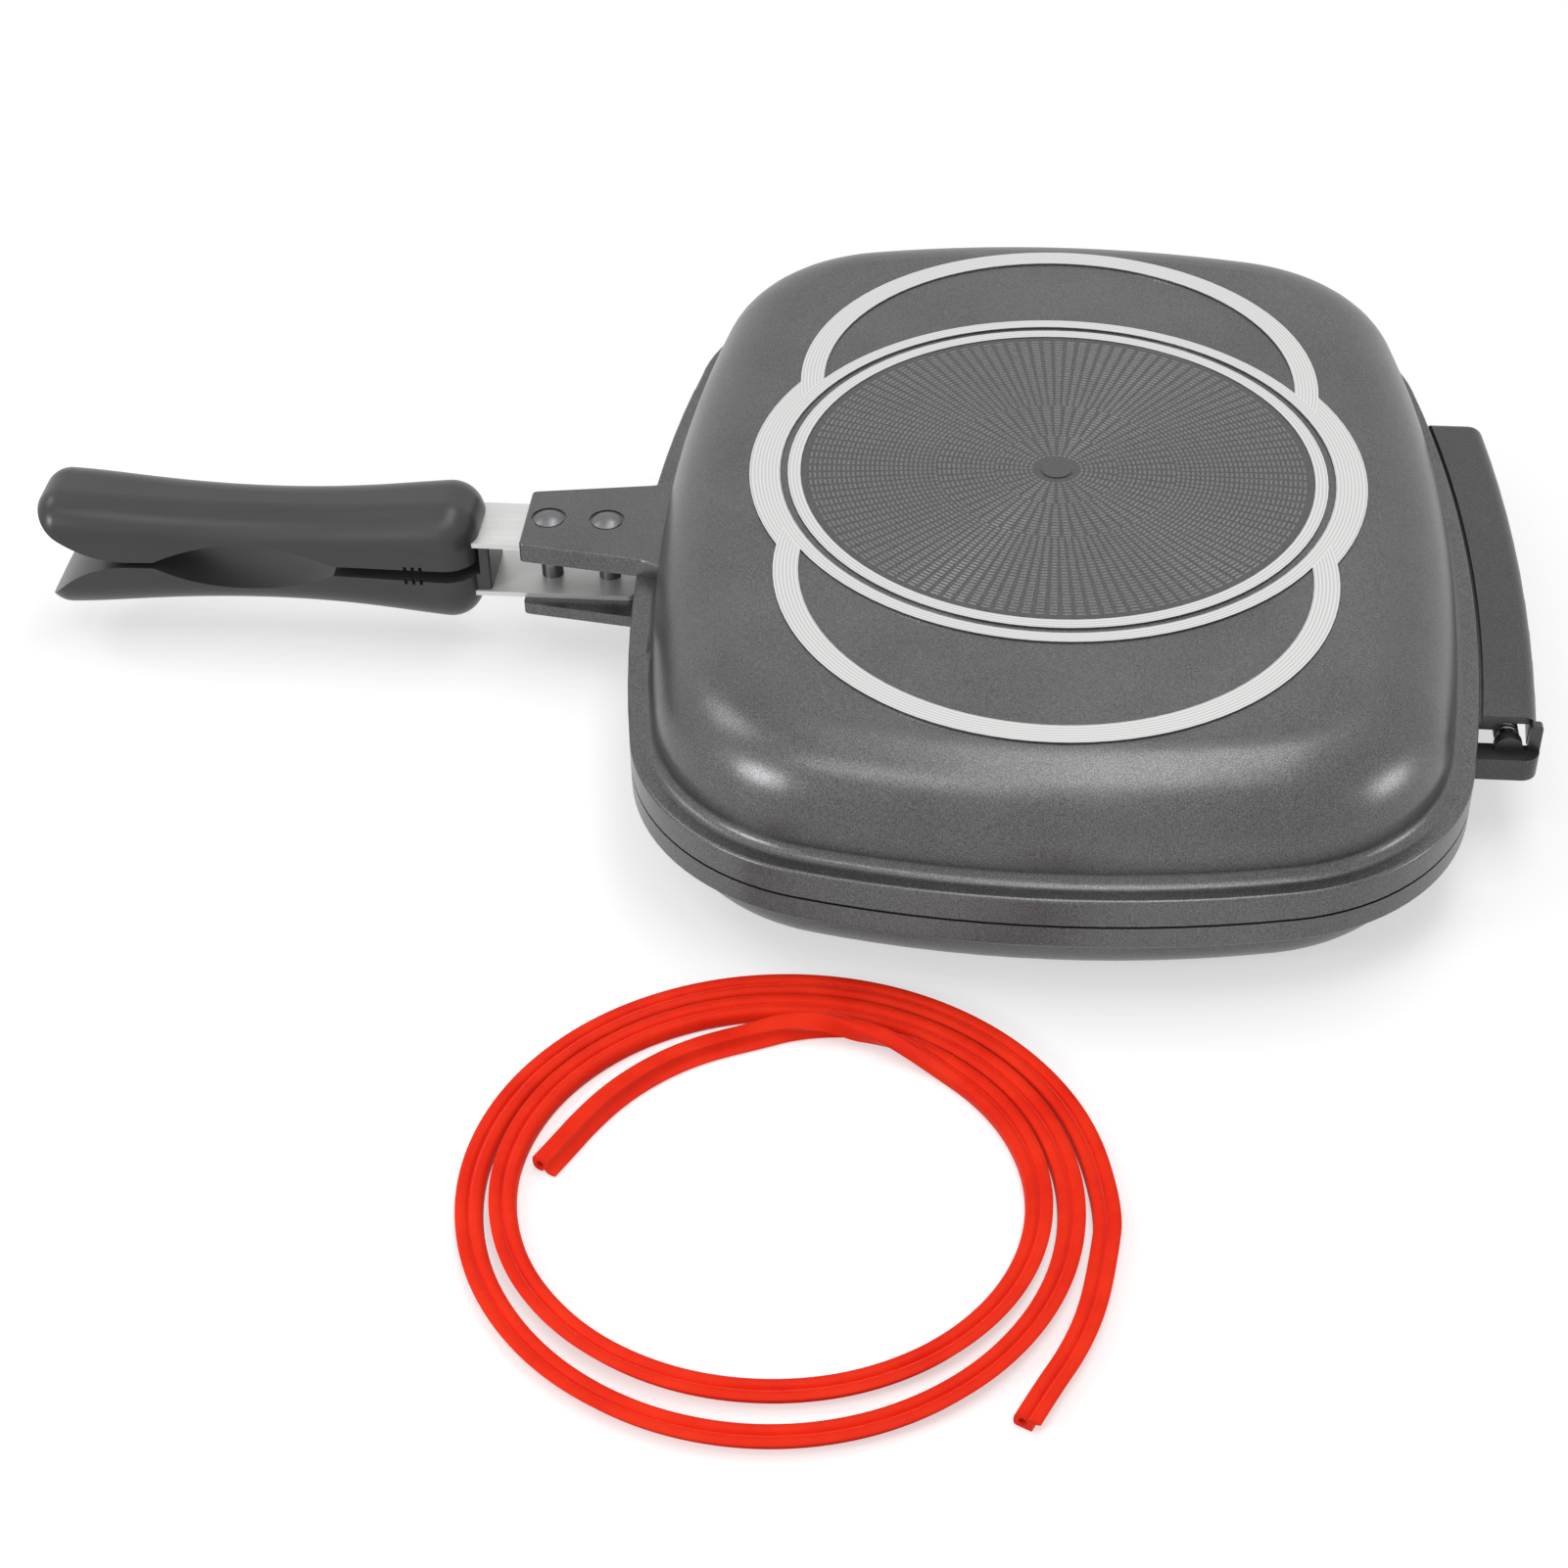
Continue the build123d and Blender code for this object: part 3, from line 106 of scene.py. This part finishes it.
# Bare machined rings of both bases, and how fine their turning marks are
RING_MASK_DEPTH = 0.0002
ROUND_BANDS_RADIUS = 0.0907
OFFSET_CENTRE_Y = 0.0532
OFFSET_BAND_MIDDLE = 0.0803
OFFSET_BAND_REACH = 0.0041
TURNING_PITCH = 0.0011

# Hinge side of the castings, beyond the arc of the rim's end: painted shade, the coat is drawn
# darker there
RIM_ARC_CENTRE = (-0.4964, 0.0, 0.0335)
RIM_ARC_REACH = 0.6284
HINGE_SIDE_PAINTED_SHADE = 0.45

# Burst of raised dashes on each base disc: where each zone starts and ends, and its rows
PAD_STEP_MM = 0.3
DASH_ZONES_MM = ((8.0, 19.0, 30), (20.0, 37.0, 60), (38.0, 78.0, 120))
DASH_PITCH_MM = 1.5
DASH_HALF_DEPTH_MM = 0.42
DASH_SHARE = 0.66
DASH_HEIGHT_MM = 0.16
DASH_SLOPE_MM = 0.14
DASH_ROOT_MM = 0.03

# A dash's outline, across and along its ray, and the faces of its eight corners
DASH_OUTLINE = ((-1, -1), (1, -1), (1, 1), (-1, 1))
DASH_FACES = ((0, 3, 2, 1), (4, 5, 6, 7), (0, 1, 5, 4), (1, 2, 6, 5), (2, 3, 7, 6), (3, 0, 4, 7))

# Finishes: linear colours, tones and roughness, as the two ends that a noise moves them between
WHOLE = (0.0, 1.0)
NOISE_SPAN = (0.3, 0.7)
FLECK_SPAN = (0.35, 0.75)
FINE_RELIEF = 0.00004
COATING_COLOURS = ((0.065, 0.065, 0.067), (0.182, 0.182, 0.185))
COATING_FLECK_TONES = (-0.25, 0.6)
COATING_PATCH_TONES = (0.3, 0.5)
COATING_METALLIC = 0.8
COATING_ROUGHNESS = (0.30, 0.36)
RING_COLOURS = ((0.60, 0.60, 0.595), (0.78, 0.78, 0.775))
RING_ROUGHNESS = (0.2, 0.28)
DISC_COLOURS = ((0.068, 0.068, 0.068), (0.138, 0.138, 0.138))
DASH_COLOURS = ((0.15, 0.15, 0.15), (0.25, 0.25, 0.25))
DISC_METALLIC = 0.7
DISC_ROUGHNESS = (0.36, 0.44)
GRIP_COLOURS = ((0.026, 0.026, 0.027), (0.038, 0.038, 0.039))
GRIP_ROUGHNESS = (0.30, 0.38)
GRIP_FLOW_STRETCH = (0.4, 1.0, 1.0)
SEAL_COLOURS = ((0.80, 0.018, 0.004), (0.92, 0.036, 0.009))
SEAL_ROUGHNESS = (0.42, 0.58)

# Bright metals, and how their fine lines change the colour and the roughness
METALS = {
    "strap_steel": {
        "colour": (0.74, 0.74, 0.73),
        "roughness": 0.36,
        "metallic": 0.5,
        "stretch": (0.06, 1.0, 1.0),
    },
    "rivet_metal": {"colour": (0.17, 0.17, 0.175), "roughness": 0.38},
    "magnet_plating": {"colour": (0.62, 0.61, 0.58), "roughness": 0.25},
    "hinge_steel": {"colour": (0.50, 0.49, 0.47), "roughness": 0.28},
}
DRAWN_LINE_SHADE = 0.9
DRAWN_LINE_ROUGHNESS = (0.8, 1.25)
DRAWN_LINE_RELIEF = 0.00003


def vec(point_mm, z_mm=0.0):
    """Point in metres from one in millimetres, with its height apart."""
    return Vector((point_mm[0] * MM, point_mm[1] * MM, z_mm * MM))


def add_object(name, data, body):
    """Link an object and let it ride on a body."""
    obj = bpy.data.objects.new(name, data)
    bpy.context.scene.collection.objects.link(obj)
    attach(obj, body)
    return obj


def make_camera():
    """Camera with the photograph's place, direction and lens."""
    elevation, yaw, roll = CAMERA_ELEVATION, CAMERA_YAW, CAMERA_ROLL
    flat = math.cos(elevation)
    back = Vector((math.sin(yaw) * flat, -math.cos(yaw) * flat, math.sin(elevation)))
    level = Vector((math.cos(yaw), math.sin(yaw), 0.0))
    upright = back.cross(level)
    right = level * math.cos(roll) + upright * math.sin(roll)
    up = upright * math.cos(roll) - level * math.sin(roll)
    data = bpy.data.cameras.new("camera")
    data.lens = CAMERA_LENS
    data.sensor_width = CAMERA_SENSOR
    camera = bpy.data.objects.new("camera", data)
    bpy.context.scene.collection.objects.link(camera)
    axes = Matrix((right, up, back)).transposed().to_4x4()
    camera.matrix_world = Matrix.Translation(CAMERA_PLACE) @ axes
    bpy.context.scene.camera = camera


def coil_points():
    """Control points of the loose seal: its inner end, its turns by a loop, its outer end."""
    radii = (COIL_BEFORE_RADIUS_MM, *COIL_QUARTER_RADII_MM, COIL_AFTER_RADIUS_MM)
    step = math.pi / 2 / COIL_STEPS_PER_QUARTER
    swell = 1 / math.cos(step / 2)
    points = list(COIL_START_MM)
    for quarter in range(len(COIL_QUARTER_RADII_MM) - 1):
        before, low, high, after = radii[quarter:quarter + 4]
        low_slope = (high - before) / 2
        high_slope = (after - low) / 2
        last = 1 if quarter == len(COIL_QUARTER_RADII_MM) - 2 else 0
        for index in range(COIL_STEPS_PER_QUARTER + last):
            t = index / COIL_STEPS_PER_QUARTER
            radius = swell * (
                low * (1 - 3 * t ** 2 + 2 * t ** 3) + high * (3 * t ** 2 - 2 * t ** 3)
                + low_slope * (t - 2 * t ** 2 + t ** 3) + high_slope * (t ** 3 - t ** 2)
            )
            angle = math.pi / 2 * (1 - quarter - t)
            points.append((
                COIL_CENTRE_MM[0] + radius * math.cos(angle),
                COIL_CENTRE_MM[1] + radius * math.sin(angle),
            ))
    points += COIL_FINISH_MM
    return [vec(point, SEAL_HEIGHT_MM / 2) for point in points]


def nurbs_line(points, resolution):
    """Points along the smooth line that these control points draw."""
    data = bpy.data.curves.new("route", "CURVE")
    data.dimensions = "3D"
    data.resolution_u = resolution
    spline = data.splines.new("NURBS")
    spline.points.add(len(points) - 1)
    for place, point in zip(spline.points, points):
        place.co = (*point, 1.0)
    spline.order_u = 3
    spline.use_endpoint_u = True
    carrier = bpy.data.objects.new("route", data)
    bpy.context.scene.collection.objects.link(carrier)
    mesh = bpy.data.meshes.new_from_object(carrier)
    line = [vertex.co.copy() for vertex in mesh.vertices]
    bpy.data.meshes.remove(mesh)
    bpy.data.objects.remove(carrier)
    bpy.data.curves.remove(data)
    return line


def smooth_step(value, start, end):
    """0 before start, 1 after end, and an even bend between them."""
    t = min(max((value - start) / (end - start), 0.0), 1.0)
    return t * t * (3 - 2 * t)


def join_rings(mesh, ring, following):
    """Band of faces between two rings of as many points."""
    turned = ring[1:] + ring[:1]
    following_turned = following[1:] + following[:1]
    for corners in zip(ring, turned, following_turned, following):
        mesh.faces.new(corners)


def make_loose_seal():
    """Loose spare seal: its section swept along the coil, upside down at its inner end."""
    line = nurbs_line(coil_points(), ROUTE_RESOLUTION)
    middle_mm = SEAL_HEIGHT_MM / 2
    mesh = bmesh.new()
    rings = []
    travelled = 0.0
    for index, point in enumerate(line):
        if index:
            travelled += (point - line[index - 1]).length
        ahead = line[min(index + 1, len(line) - 1)]
        behind = line[max(index - 1, 0)]
        along = (ahead - behind).normalized()
        inner = along.cross(Vector((0, 0, 1)))
        roll = math.pi * (1 - smooth_step(travelled, SEAL_TWIST_START, SEAL_TWIST_END))
        reach_mm = abs(math.cos(roll)) * middle_mm + abs(math.sin(roll)) * SEAL_WIDTH_MM / 2
        lift_mm = reach_mm - middle_mm
        ring = []
        for across_mm, up_mm in SEAL_SECTION_MM:
            rise_mm = up_mm - middle_mm
            turned_across = across_mm * math.cos(roll) - rise_mm * math.sin(roll)
            turned_rise = across_mm * math.sin(roll) + rise_mm * math.cos(roll)
            ring.append(mesh.verts.new(
                point + inner * turned_across * MM + Vector((0, 0, (turned_rise + lift_mm) * MM))
            ))
        rings.append(ring)
    for ring, following in zip(rings, rings[1:]):
        join_rings(mesh, ring, following)
    for ring, is_start in ((rings[0], True), (rings[-1], False)):
        close_seal_end(mesh, ring, line, is_start)
    mesh.normal_update()
    bmesh.ops.recalc_face_normals(mesh, faces=mesh.faces)
    data = bpy.data.meshes.new("spare_seal_strip")
    mesh.to_mesh(data)
    mesh.free()
    strip = add_object("spare_seal_strip", data, "lower_half")
    shade_smooth(strip, SEAL_SHARP_DEGREES)
    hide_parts("spare_seal")
    return strip


def close_seal_end(mesh, ring, line, is_start):
    """End face of the seal with its bore, a short way deep."""
    place = line[0] if is_start else line[-1]
    neighbour = line[1] if is_start else line[-2]
    inward = (neighbour - place).normalized()
    travel = inward if is_start else -inward
    inner = travel.cross(Vector((0, 0, 1)))
    roll = math.pi if is_start else 0.0
    across_mm = SEAL_BORE_CENTRE_MM[0] * math.cos(roll)
    rise_mm = (SEAL_BORE_CENTRE_MM[1] - SEAL_HEIGHT_MM / 2) * math.cos(roll)
    centre = place + inner * across_mm * MM + Vector((0, 0, rise_mm * MM))
    mouth = []
    for vertex in ring:
        spoke = vertex.co - centre
        spoke -= inward * spoke.dot(inward)
        mouth.append(mesh.verts.new(centre + spoke.normalized() * SEAL_BORE_RADIUS_MM * MM))
    floor = [mesh.verts.new(vertex.co + inward * SEAL_BORE_DEPTH_MM * MM) for vertex in mouth]
    for outer, inside in ((ring, mouth), (mouth, floor)):
        join_rings(mesh, outer, inside)
    mesh.faces.new(floor)


def dash_corners(angle, radius, half_width, face, out):
    """Corners of one dash: four just inside the disc, then four round its smaller top."""
    ray = Vector((math.cos(angle), math.sin(angle), 0.0))
    side = Vector((-ray.y, ray.x, 0.0))
    corners = []
    for inset, rise_mm in ((0.0, -DASH_ROOT_MM), (DASH_SLOPE_MM * MM, DASH_HEIGHT_MM)):
        depth = DASH_HALF_DEPTH_MM * MM - inset
        width = half_width - min(inset, half_width / 2)
        level = Vector((0.0, 0.0, face + out * rise_mm * MM))
        for across, along in DASH_OUTLINE:
            place = ray * (radius + along * depth) + side * (across * width)
            corners.append(place + level)
    return corners


def make_disc_dashes(node, body, name):
    """Burst of short raised dashes on a base disc, as closed bars with sloping sides."""
    low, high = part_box(node)
    is_upper = body == "upper_half"
    out = 1 if is_upper else -1
    face = high[2] - PAD_STEP_MM * MM if is_upper else low[2] + PAD_STEP_MM * MM
    vertices = []
    faces = []
    for start_mm, end_mm, rows in DASH_ZONES_MM:
        for step in range(int((end_mm - start_mm) / DASH_PITCH_MM) + 1):
            radius = (start_mm + step * DASH_PITCH_MM) * MM
            half_width = DASH_SHARE * math.pi * radius / rows
            for row in range(rows):
                first = len(vertices)
                vertices += dash_corners(2 * math.pi * row / rows, radius, half_width, face, out)
                faces += [tuple(first + index for index in corners) for corners in DASH_FACES]
    data = bpy.data.meshes.new(name)
    data.from_pydata(vertices, [], faces if is_upper else [corners[::-1] for corners in faces])
    return add_object(name, data, body)


def shade_smooth(obj, sharp_degrees):
    """Smooth shading, with edges sharper than an angle kept crisp."""
    obj.data.shade_smooth()
    obj.data.set_sharp_from_angle(angle=math.radians(sharp_degrees))


class Shader:
    """A material with its output shader and short ways to add nodes before it."""

    def __init__(self, name, **settings):
        self.material = bpy.data.materials.new(name)
        self.material.use_nodes = True
        self.nodes = self.material.node_tree.nodes
        self.links = self.material.node_tree.links
        self.surface = self.nodes["Principled BSDF"]
        for socket, value in settings.items():
            self.surface.inputs[socket.replace("_", " ")].default_value = value

    def place(self):
        """Position on the piece, which moves with it."""
        return self.nodes.new("ShaderNodeTexCoord").outputs["Object"]

    def noise(self, scale, detail, roughness=0.6, stretch=None):
        """Noise of this many cycles a metre, drawn out along an axis by stretch."""
        texture = self.nodes.new("ShaderNodeTexNoise")
        texture.inputs["Scale"].default_value = scale
        texture.inputs["Detail"].default_value = detail
        texture.inputs["Roughness"].default_value = roughness
        place = self.place()
        if stretch:
            mapping = self.nodes.new("ShaderNodeMapping")
            mapping.inputs["Scale"].default_value = stretch
            self.links.new(place, mapping.inputs["Vector"])
            place = mapping.outputs["Vector"]
        self.links.new(place, texture.inputs["Vector"])
        return texture.outputs["Fac"]

    def spread(self, source, span, target):
        """Map a value's span onto a target span, held at both ends."""
        node = self.nodes.new("ShaderNodeMapRange")
        node.inputs["From Min"].default_value, node.inputs["From Max"].default_value = span
        node.inputs["To Min"].default_value, node.inputs["To Max"].default_value = target
        self.links.new(source, node.inputs["Value"])
        return node.outputs["Result"]

    def join(self, first, second=0.0, operation="ADD"):
        """Result of a plain operation on a value, or on two."""
        node = self.nodes.new("ShaderNodeMath")
        node.operation = operation
        for socket, value in zip(node.inputs, (first, second)):
            if isinstance(value, (int, float)):
                socket.default_value = value
            else:
                self.links.new(value, socket)
        return node.outputs[0]

    def mix(self, share, first, second):
        """Linked value between two linked values."""
        node = self.nodes.new("ShaderNodeMix")
        for socket, source in zip((0, 2, 3), (share, first, second)):
            self.links.new(source, node.inputs[socket])
        return node.outputs[0]

    def vector_math(self, operation, source, other=None):
        """A vector operation: its value where it measures, or else its vector."""
        node = self.nodes.new("ShaderNodeVectorMath")
        node.operation = operation
        self.links.new(source, node.inputs[0])
        if other:
            node.inputs[1].default_value = other
        return node.outputs["Value" if operation in ("LENGTH", "DISTANCE") else "Vector"]

    def part_of(self, source, part):
        """One coordinate of a place: X, Y or Z."""
        node = self.nodes.new("ShaderNodeSeparateXYZ")
        self.links.new(source, node.inputs[0])
        return node.outputs[part]

    def blend(self, share, first, second):
        """Colour between two colours, or between two linked colours."""
        node = self.nodes.new("ShaderNodeMix")
        node.data_type = "RGBA"
        self.links.new(share, node.inputs[0])
        for socket, value in ((node.inputs[6], first), (node.inputs[7], second)):
            if isinstance(value, tuple):
                socket.default_value = (*value, 1.0)
            else:
                self.links.new(value, socket)
        return node.outputs[2]

    def drive(self, socket, source):
        """Link a value or colour to a socket of the surface."""
        self.links.new(source, self.surface.inputs[socket])

    def vary(self, noise, colours, roughness, colour_span=NOISE_SPAN):
        """Colour and roughness that a noise moves between two ends."""
        share = self.spread(noise, colour_span, WHOLE)
        self.drive("Base Color", self.blend(share, *colours))
        self.drive("Roughness", self.spread(noise, NOISE_SPAN, roughness))

    def bump(self, height, strength, distance=FINE_RELIEF):
        """Relief of this height in metres, added to any that is there."""
        node = self.nodes.new("ShaderNodeBump")
        node.inputs["Strength"].default_value = strength
        node.inputs["Distance"].default_value = distance
        self.links.new(height, node.inputs["Height"])
        normal = self.surface.inputs["Normal"]
        if normal.is_linked:
            self.links.new(normal.links[0].from_socket, node.inputs["Normal"])
        self.links.new(node.outputs["Normal"], normal)


def turning_marks(shader):
    """Fine waves that follow each machined ring, round its own centre."""
    flat = shader.nodes.new("ShaderNodeMapping")
    flat.inputs["Scale"].default_value = (1.0, 1.0, 0.0)
    shader.links.new(shader.place(), flat.inputs["Vector"])
    folded = shader.vector_math("ABSOLUTE", flat.outputs["Vector"])
    from_middle = shader.vector_math("LENGTH", flat.outputs["Vector"])
    from_offset = shader.vector_math("DISTANCE", folded, (0.0, OFFSET_CENTRE_Y, 0.0))
    past_band = shader.join(from_offset, OFFSET_BAND_MIDDLE, "SUBTRACT")
    off_band = shader.join(past_band, operation="ABSOLUTE")
    on_offset = shader.join(off_band, OFFSET_BAND_REACH, "LESS_THAN")
    outside = shader.join(from_middle, ROUND_BANDS_RADIUS, "GREATER_THAN")
    radius = shader.mix(shader.join(on_offset, outside, "MULTIPLY"), from_middle, from_offset)
    turns = shader.join(radius, 2 * math.pi / TURNING_PITCH, "MULTIPLY")
    wave = shader.join(turns, operation="SINE")
    return shader.spread(wave, (-1.0, 1.0), WHOLE)


def bare_rings(shader):
    """1 on the outermost face of each base, where the rings are machined, and 0 elsewhere."""
    low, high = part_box("lower_pan")[0][2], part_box("upper_pan")[1][2]
    height = shader.part_of(shader.place(), "Z")
    top = shader.join(height, high - RING_MASK_DEPTH, "GREATER_THAN")
    bottom = shader.join(height, low + RING_MASK_DEPTH, "LESS_THAN")
    return shader.join(top, bottom, "MAXIMUM")


def pan_coating():
    """Dark satin coating with a fine metallic fleck and painted shade on the hinge side, cut back
    to bare rings on both bases.
    """
    shader = Shader("pan_coating")
    fleck = shader.noise(scale=2600.0, detail=1.0)
    patch = shader.noise(scale=22.0, detail=3.0)
    tone = shader.join(
        shader.spread(fleck, FLECK_SPAN, COATING_FLECK_TONES),
        shader.spread(patch, NOISE_SPAN, COATING_PATCH_TONES),
    )
    # Painted shade: beyond the arc of the rim's end, on the hinge side, the coat's tone is drawn
    # darker
    from_arc_centre = shader.vector_math("DISTANCE", shader.place(), RIM_ARC_CENTRE)
    in_painted_shade = shader.join(from_arc_centre, RIM_ARC_REACH, "GREATER_THAN")
    shade = shader.join(in_painted_shade, HINGE_SIDE_PAINTED_SHADE, "MULTIPLY")
    coating = shader.blend(shader.join(tone, shade, "SUBTRACT"), *COATING_COLOURS)
    bare = bare_rings(shader)
    marks = turning_marks(shader)
    metal = shader.blend(marks, *RING_COLOURS)
    shader.drive("Base Color", shader.blend(bare, coating, metal))
    shader.drive("Metallic", shader.spread(bare, WHOLE, (COATING_METALLIC, 1.0)))
    dull = shader.spread(patch, NOISE_SPAN, COATING_ROUGHNESS)
    bright = shader.spread(marks, WHOLE, RING_ROUGHNESS)
    shader.drive("Roughness", shader.mix(bare, dull, bright))
    shader.bump(fleck, strength=0.12)
    shader.bump(shader.join(marks, bare, "MULTIPLY"), strength=0.35)
    return shader.material


def plain_metal(name, colour, roughness, metallic=1.0, stretch=None):
    """Bright metal with fine lines, which are drawn along one axis by stretch."""
    shader = Shader(name, Metallic=metallic)
    lines = shader.noise(scale=900.0, detail=3.0, stretch=stretch)
    darker = tuple(DRAWN_LINE_SHADE * part for part in colour)
    span = tuple(roughness * factor for factor in DRAWN_LINE_ROUGHNESS)
    shader.vary(lines, (darker, colour), span)
    shader.bump(lines, strength=0.08, distance=DRAWN_LINE_RELIEF)
    return shader.material


def disc_finish(name, colours):
    """Dark pressed disc between the rings, or the dashes that stand on it."""
    shader = Shader(name, Metallic=DISC_METALLIC)
    grain = shader.noise(scale=2400.0, detail=1.0)
    shader.vary(grain, colours, DISC_ROUGHNESS, FLECK_SPAN)
    shader.bump(grain, strength=0.12)
    return shader.material


def grip_plastic():
    """Black-grey moulded thermoset, satin, with a faint flow pattern."""
    shader = Shader("grip_plastic")
    grain = shader.noise(scale=1500.0, detail=2.0)
    flow = shader.noise(scale=30.0, detail=3.0, stretch=GRIP_FLOW_STRETCH)
    shader.vary(flow, GRIP_COLOURS, GRIP_ROUGHNESS)
    shader.bump(grain, strength=0.1)
    return shader.material


def seal_rubber():
    """Bright red silicone with soft patches of dust and sheen."""
    shader = Shader("seal_rubber", Specular_IOR_Level=0.1)
    patch = shader.noise(scale=60.0, detail=3.0)
    grain = shader.noise(scale=1800.0, detail=2.0, roughness=0.5)
    shader.vary(patch, SEAL_COLOURS, SEAL_ROUGHNESS)
    shader.bump(grain, strength=0.08)
    return shader.material


def make_finishes():
    """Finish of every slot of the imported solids."""
    finishes = {
        "pan_coating": pan_coating(),
        "base_disc": disc_finish("base_disc", DISC_COLOURS),
        "grip_plastic": grip_plastic(),
        "seal_rubber": seal_rubber(),
    }
    for name, settings in METALS.items():
        finishes[name] = plain_metal(name, **settings)
    return finishes


def paint_nodes(materials):
    """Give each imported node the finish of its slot."""
    for entry in frame["record"]["subparts"]:
        data = frame["nodes"][entry["node"]].data
        data.materials.clear()
        data.materials.append(materials[entry["material_slot"]])


def seen_directly(nodes, links):
    """1 for rays from the camera, also by a reflection or through glass, and 0 for all others."""
    path = nodes.new("ShaderNodeLightPath")
    seen = path.outputs["Is Camera Ray"]
    for kind in ("Is Glossy Ray", "Is Transmission Ray"):
        either = nodes.new("ShaderNodeMath")
        either.operation = "MAXIMUM"
        links.new(seen, either.inputs[0])
        links.new(path.outputs[kind], either.inputs[1])
        seen = either.outputs[0]
    return seen


def make_stage():
    """Pale floor that is seen as white, with the object's soft shadow."""
    data = bpy.data.meshes.new("floor")
    reach = FLOOR_REACH
    corners = [(-reach, -reach), (reach, -reach), (reach, reach), (-reach, reach)]
    data.from_pydata([(x, y, -FLOOR_DROP) for x, y in corners], [], [(0, 1, 2, 3)])
    floor = bpy.data.objects.new("floor", data)
    bpy.context.scene.collection.objects.link(floor)
    shader = Shader("floor", Roughness=0.9, Specular_IOR_Level=0.1)
    shader.surface.inputs["Base Color"].default_value = (*FLOOR_COLOUR, 1.0)
    shader.surface.inputs["Emission Color"].default_value = (1.0, 1.0, 1.0, 1.0)
    glow = shader.spread(seen_directly(shader.nodes, shader.links), WHOLE, (0.0, FLOOR_GLOW))
    shader.drive("Emission Strength", glow)
    data.materials.append(shader.material)


def area_light(name, place, target, size, radiance):
    """Soft light of an even brightness that looks at a point."""
    data = bpy.data.lights.new(name, "AREA")
    data.shape = "RECTANGLE"
    data.size, data.size_y = size
    data.energy = radiance * math.pi * data.size * data.size_y
    light = bpy.data.objects.new(name, data)
    light.location = place
    light.rotation_euler = (Vector(target) - Vector(place)).to_track_quat("-Z", "Y").to_euler()
    bpy.context.scene.collection.objects.link(light)


def make_lights():
    """White surroundings and the soft boxes, which together light at a plain level."""
    world = bpy.data.worlds.new("world")
    world.use_nodes = True
    tree = world.node_tree
    background = tree.nodes["Background"]
    seen = seen_directly(tree.nodes, tree.links)
    strength = tree.nodes.new("ShaderNodeMapRange")
    strength.inputs["To Min"].default_value = AMBIENT
    strength.inputs["To Max"].default_value = 1.0
    tree.links.new(seen, strength.inputs["Value"])
    tree.links.new(strength.outputs["Result"], background.inputs["Strength"])
    background.inputs["Color"].default_value = (1, 1, 1, 1)
    bpy.context.scene.world = world
    for name, place, size, radiance in LIGHTS:
        area_light(name, place, LIGHT_TARGET, size, radiance)


make_camera()
seal_strip = make_loose_seal()
# Keeps the strip out of the castings' reflections
seal_strip.visible_glossy = False
finishes = make_finishes()
paint_nodes(finishes)
seal_strip.data.materials.append(finishes["seal_rubber"])
dash_finish = disc_finish("disc_dashes", DASH_COLOURS)
for side in ("lower", "upper"):
    dashes = make_disc_dashes(f"{side}_base_disc", f"{side}_half", f"{side}_disc_dashes")
    dashes.data.materials.append(dash_finish)
make_stage()
make_lights()
bpy.context.scene.view_settings.view_transform = "Standard"
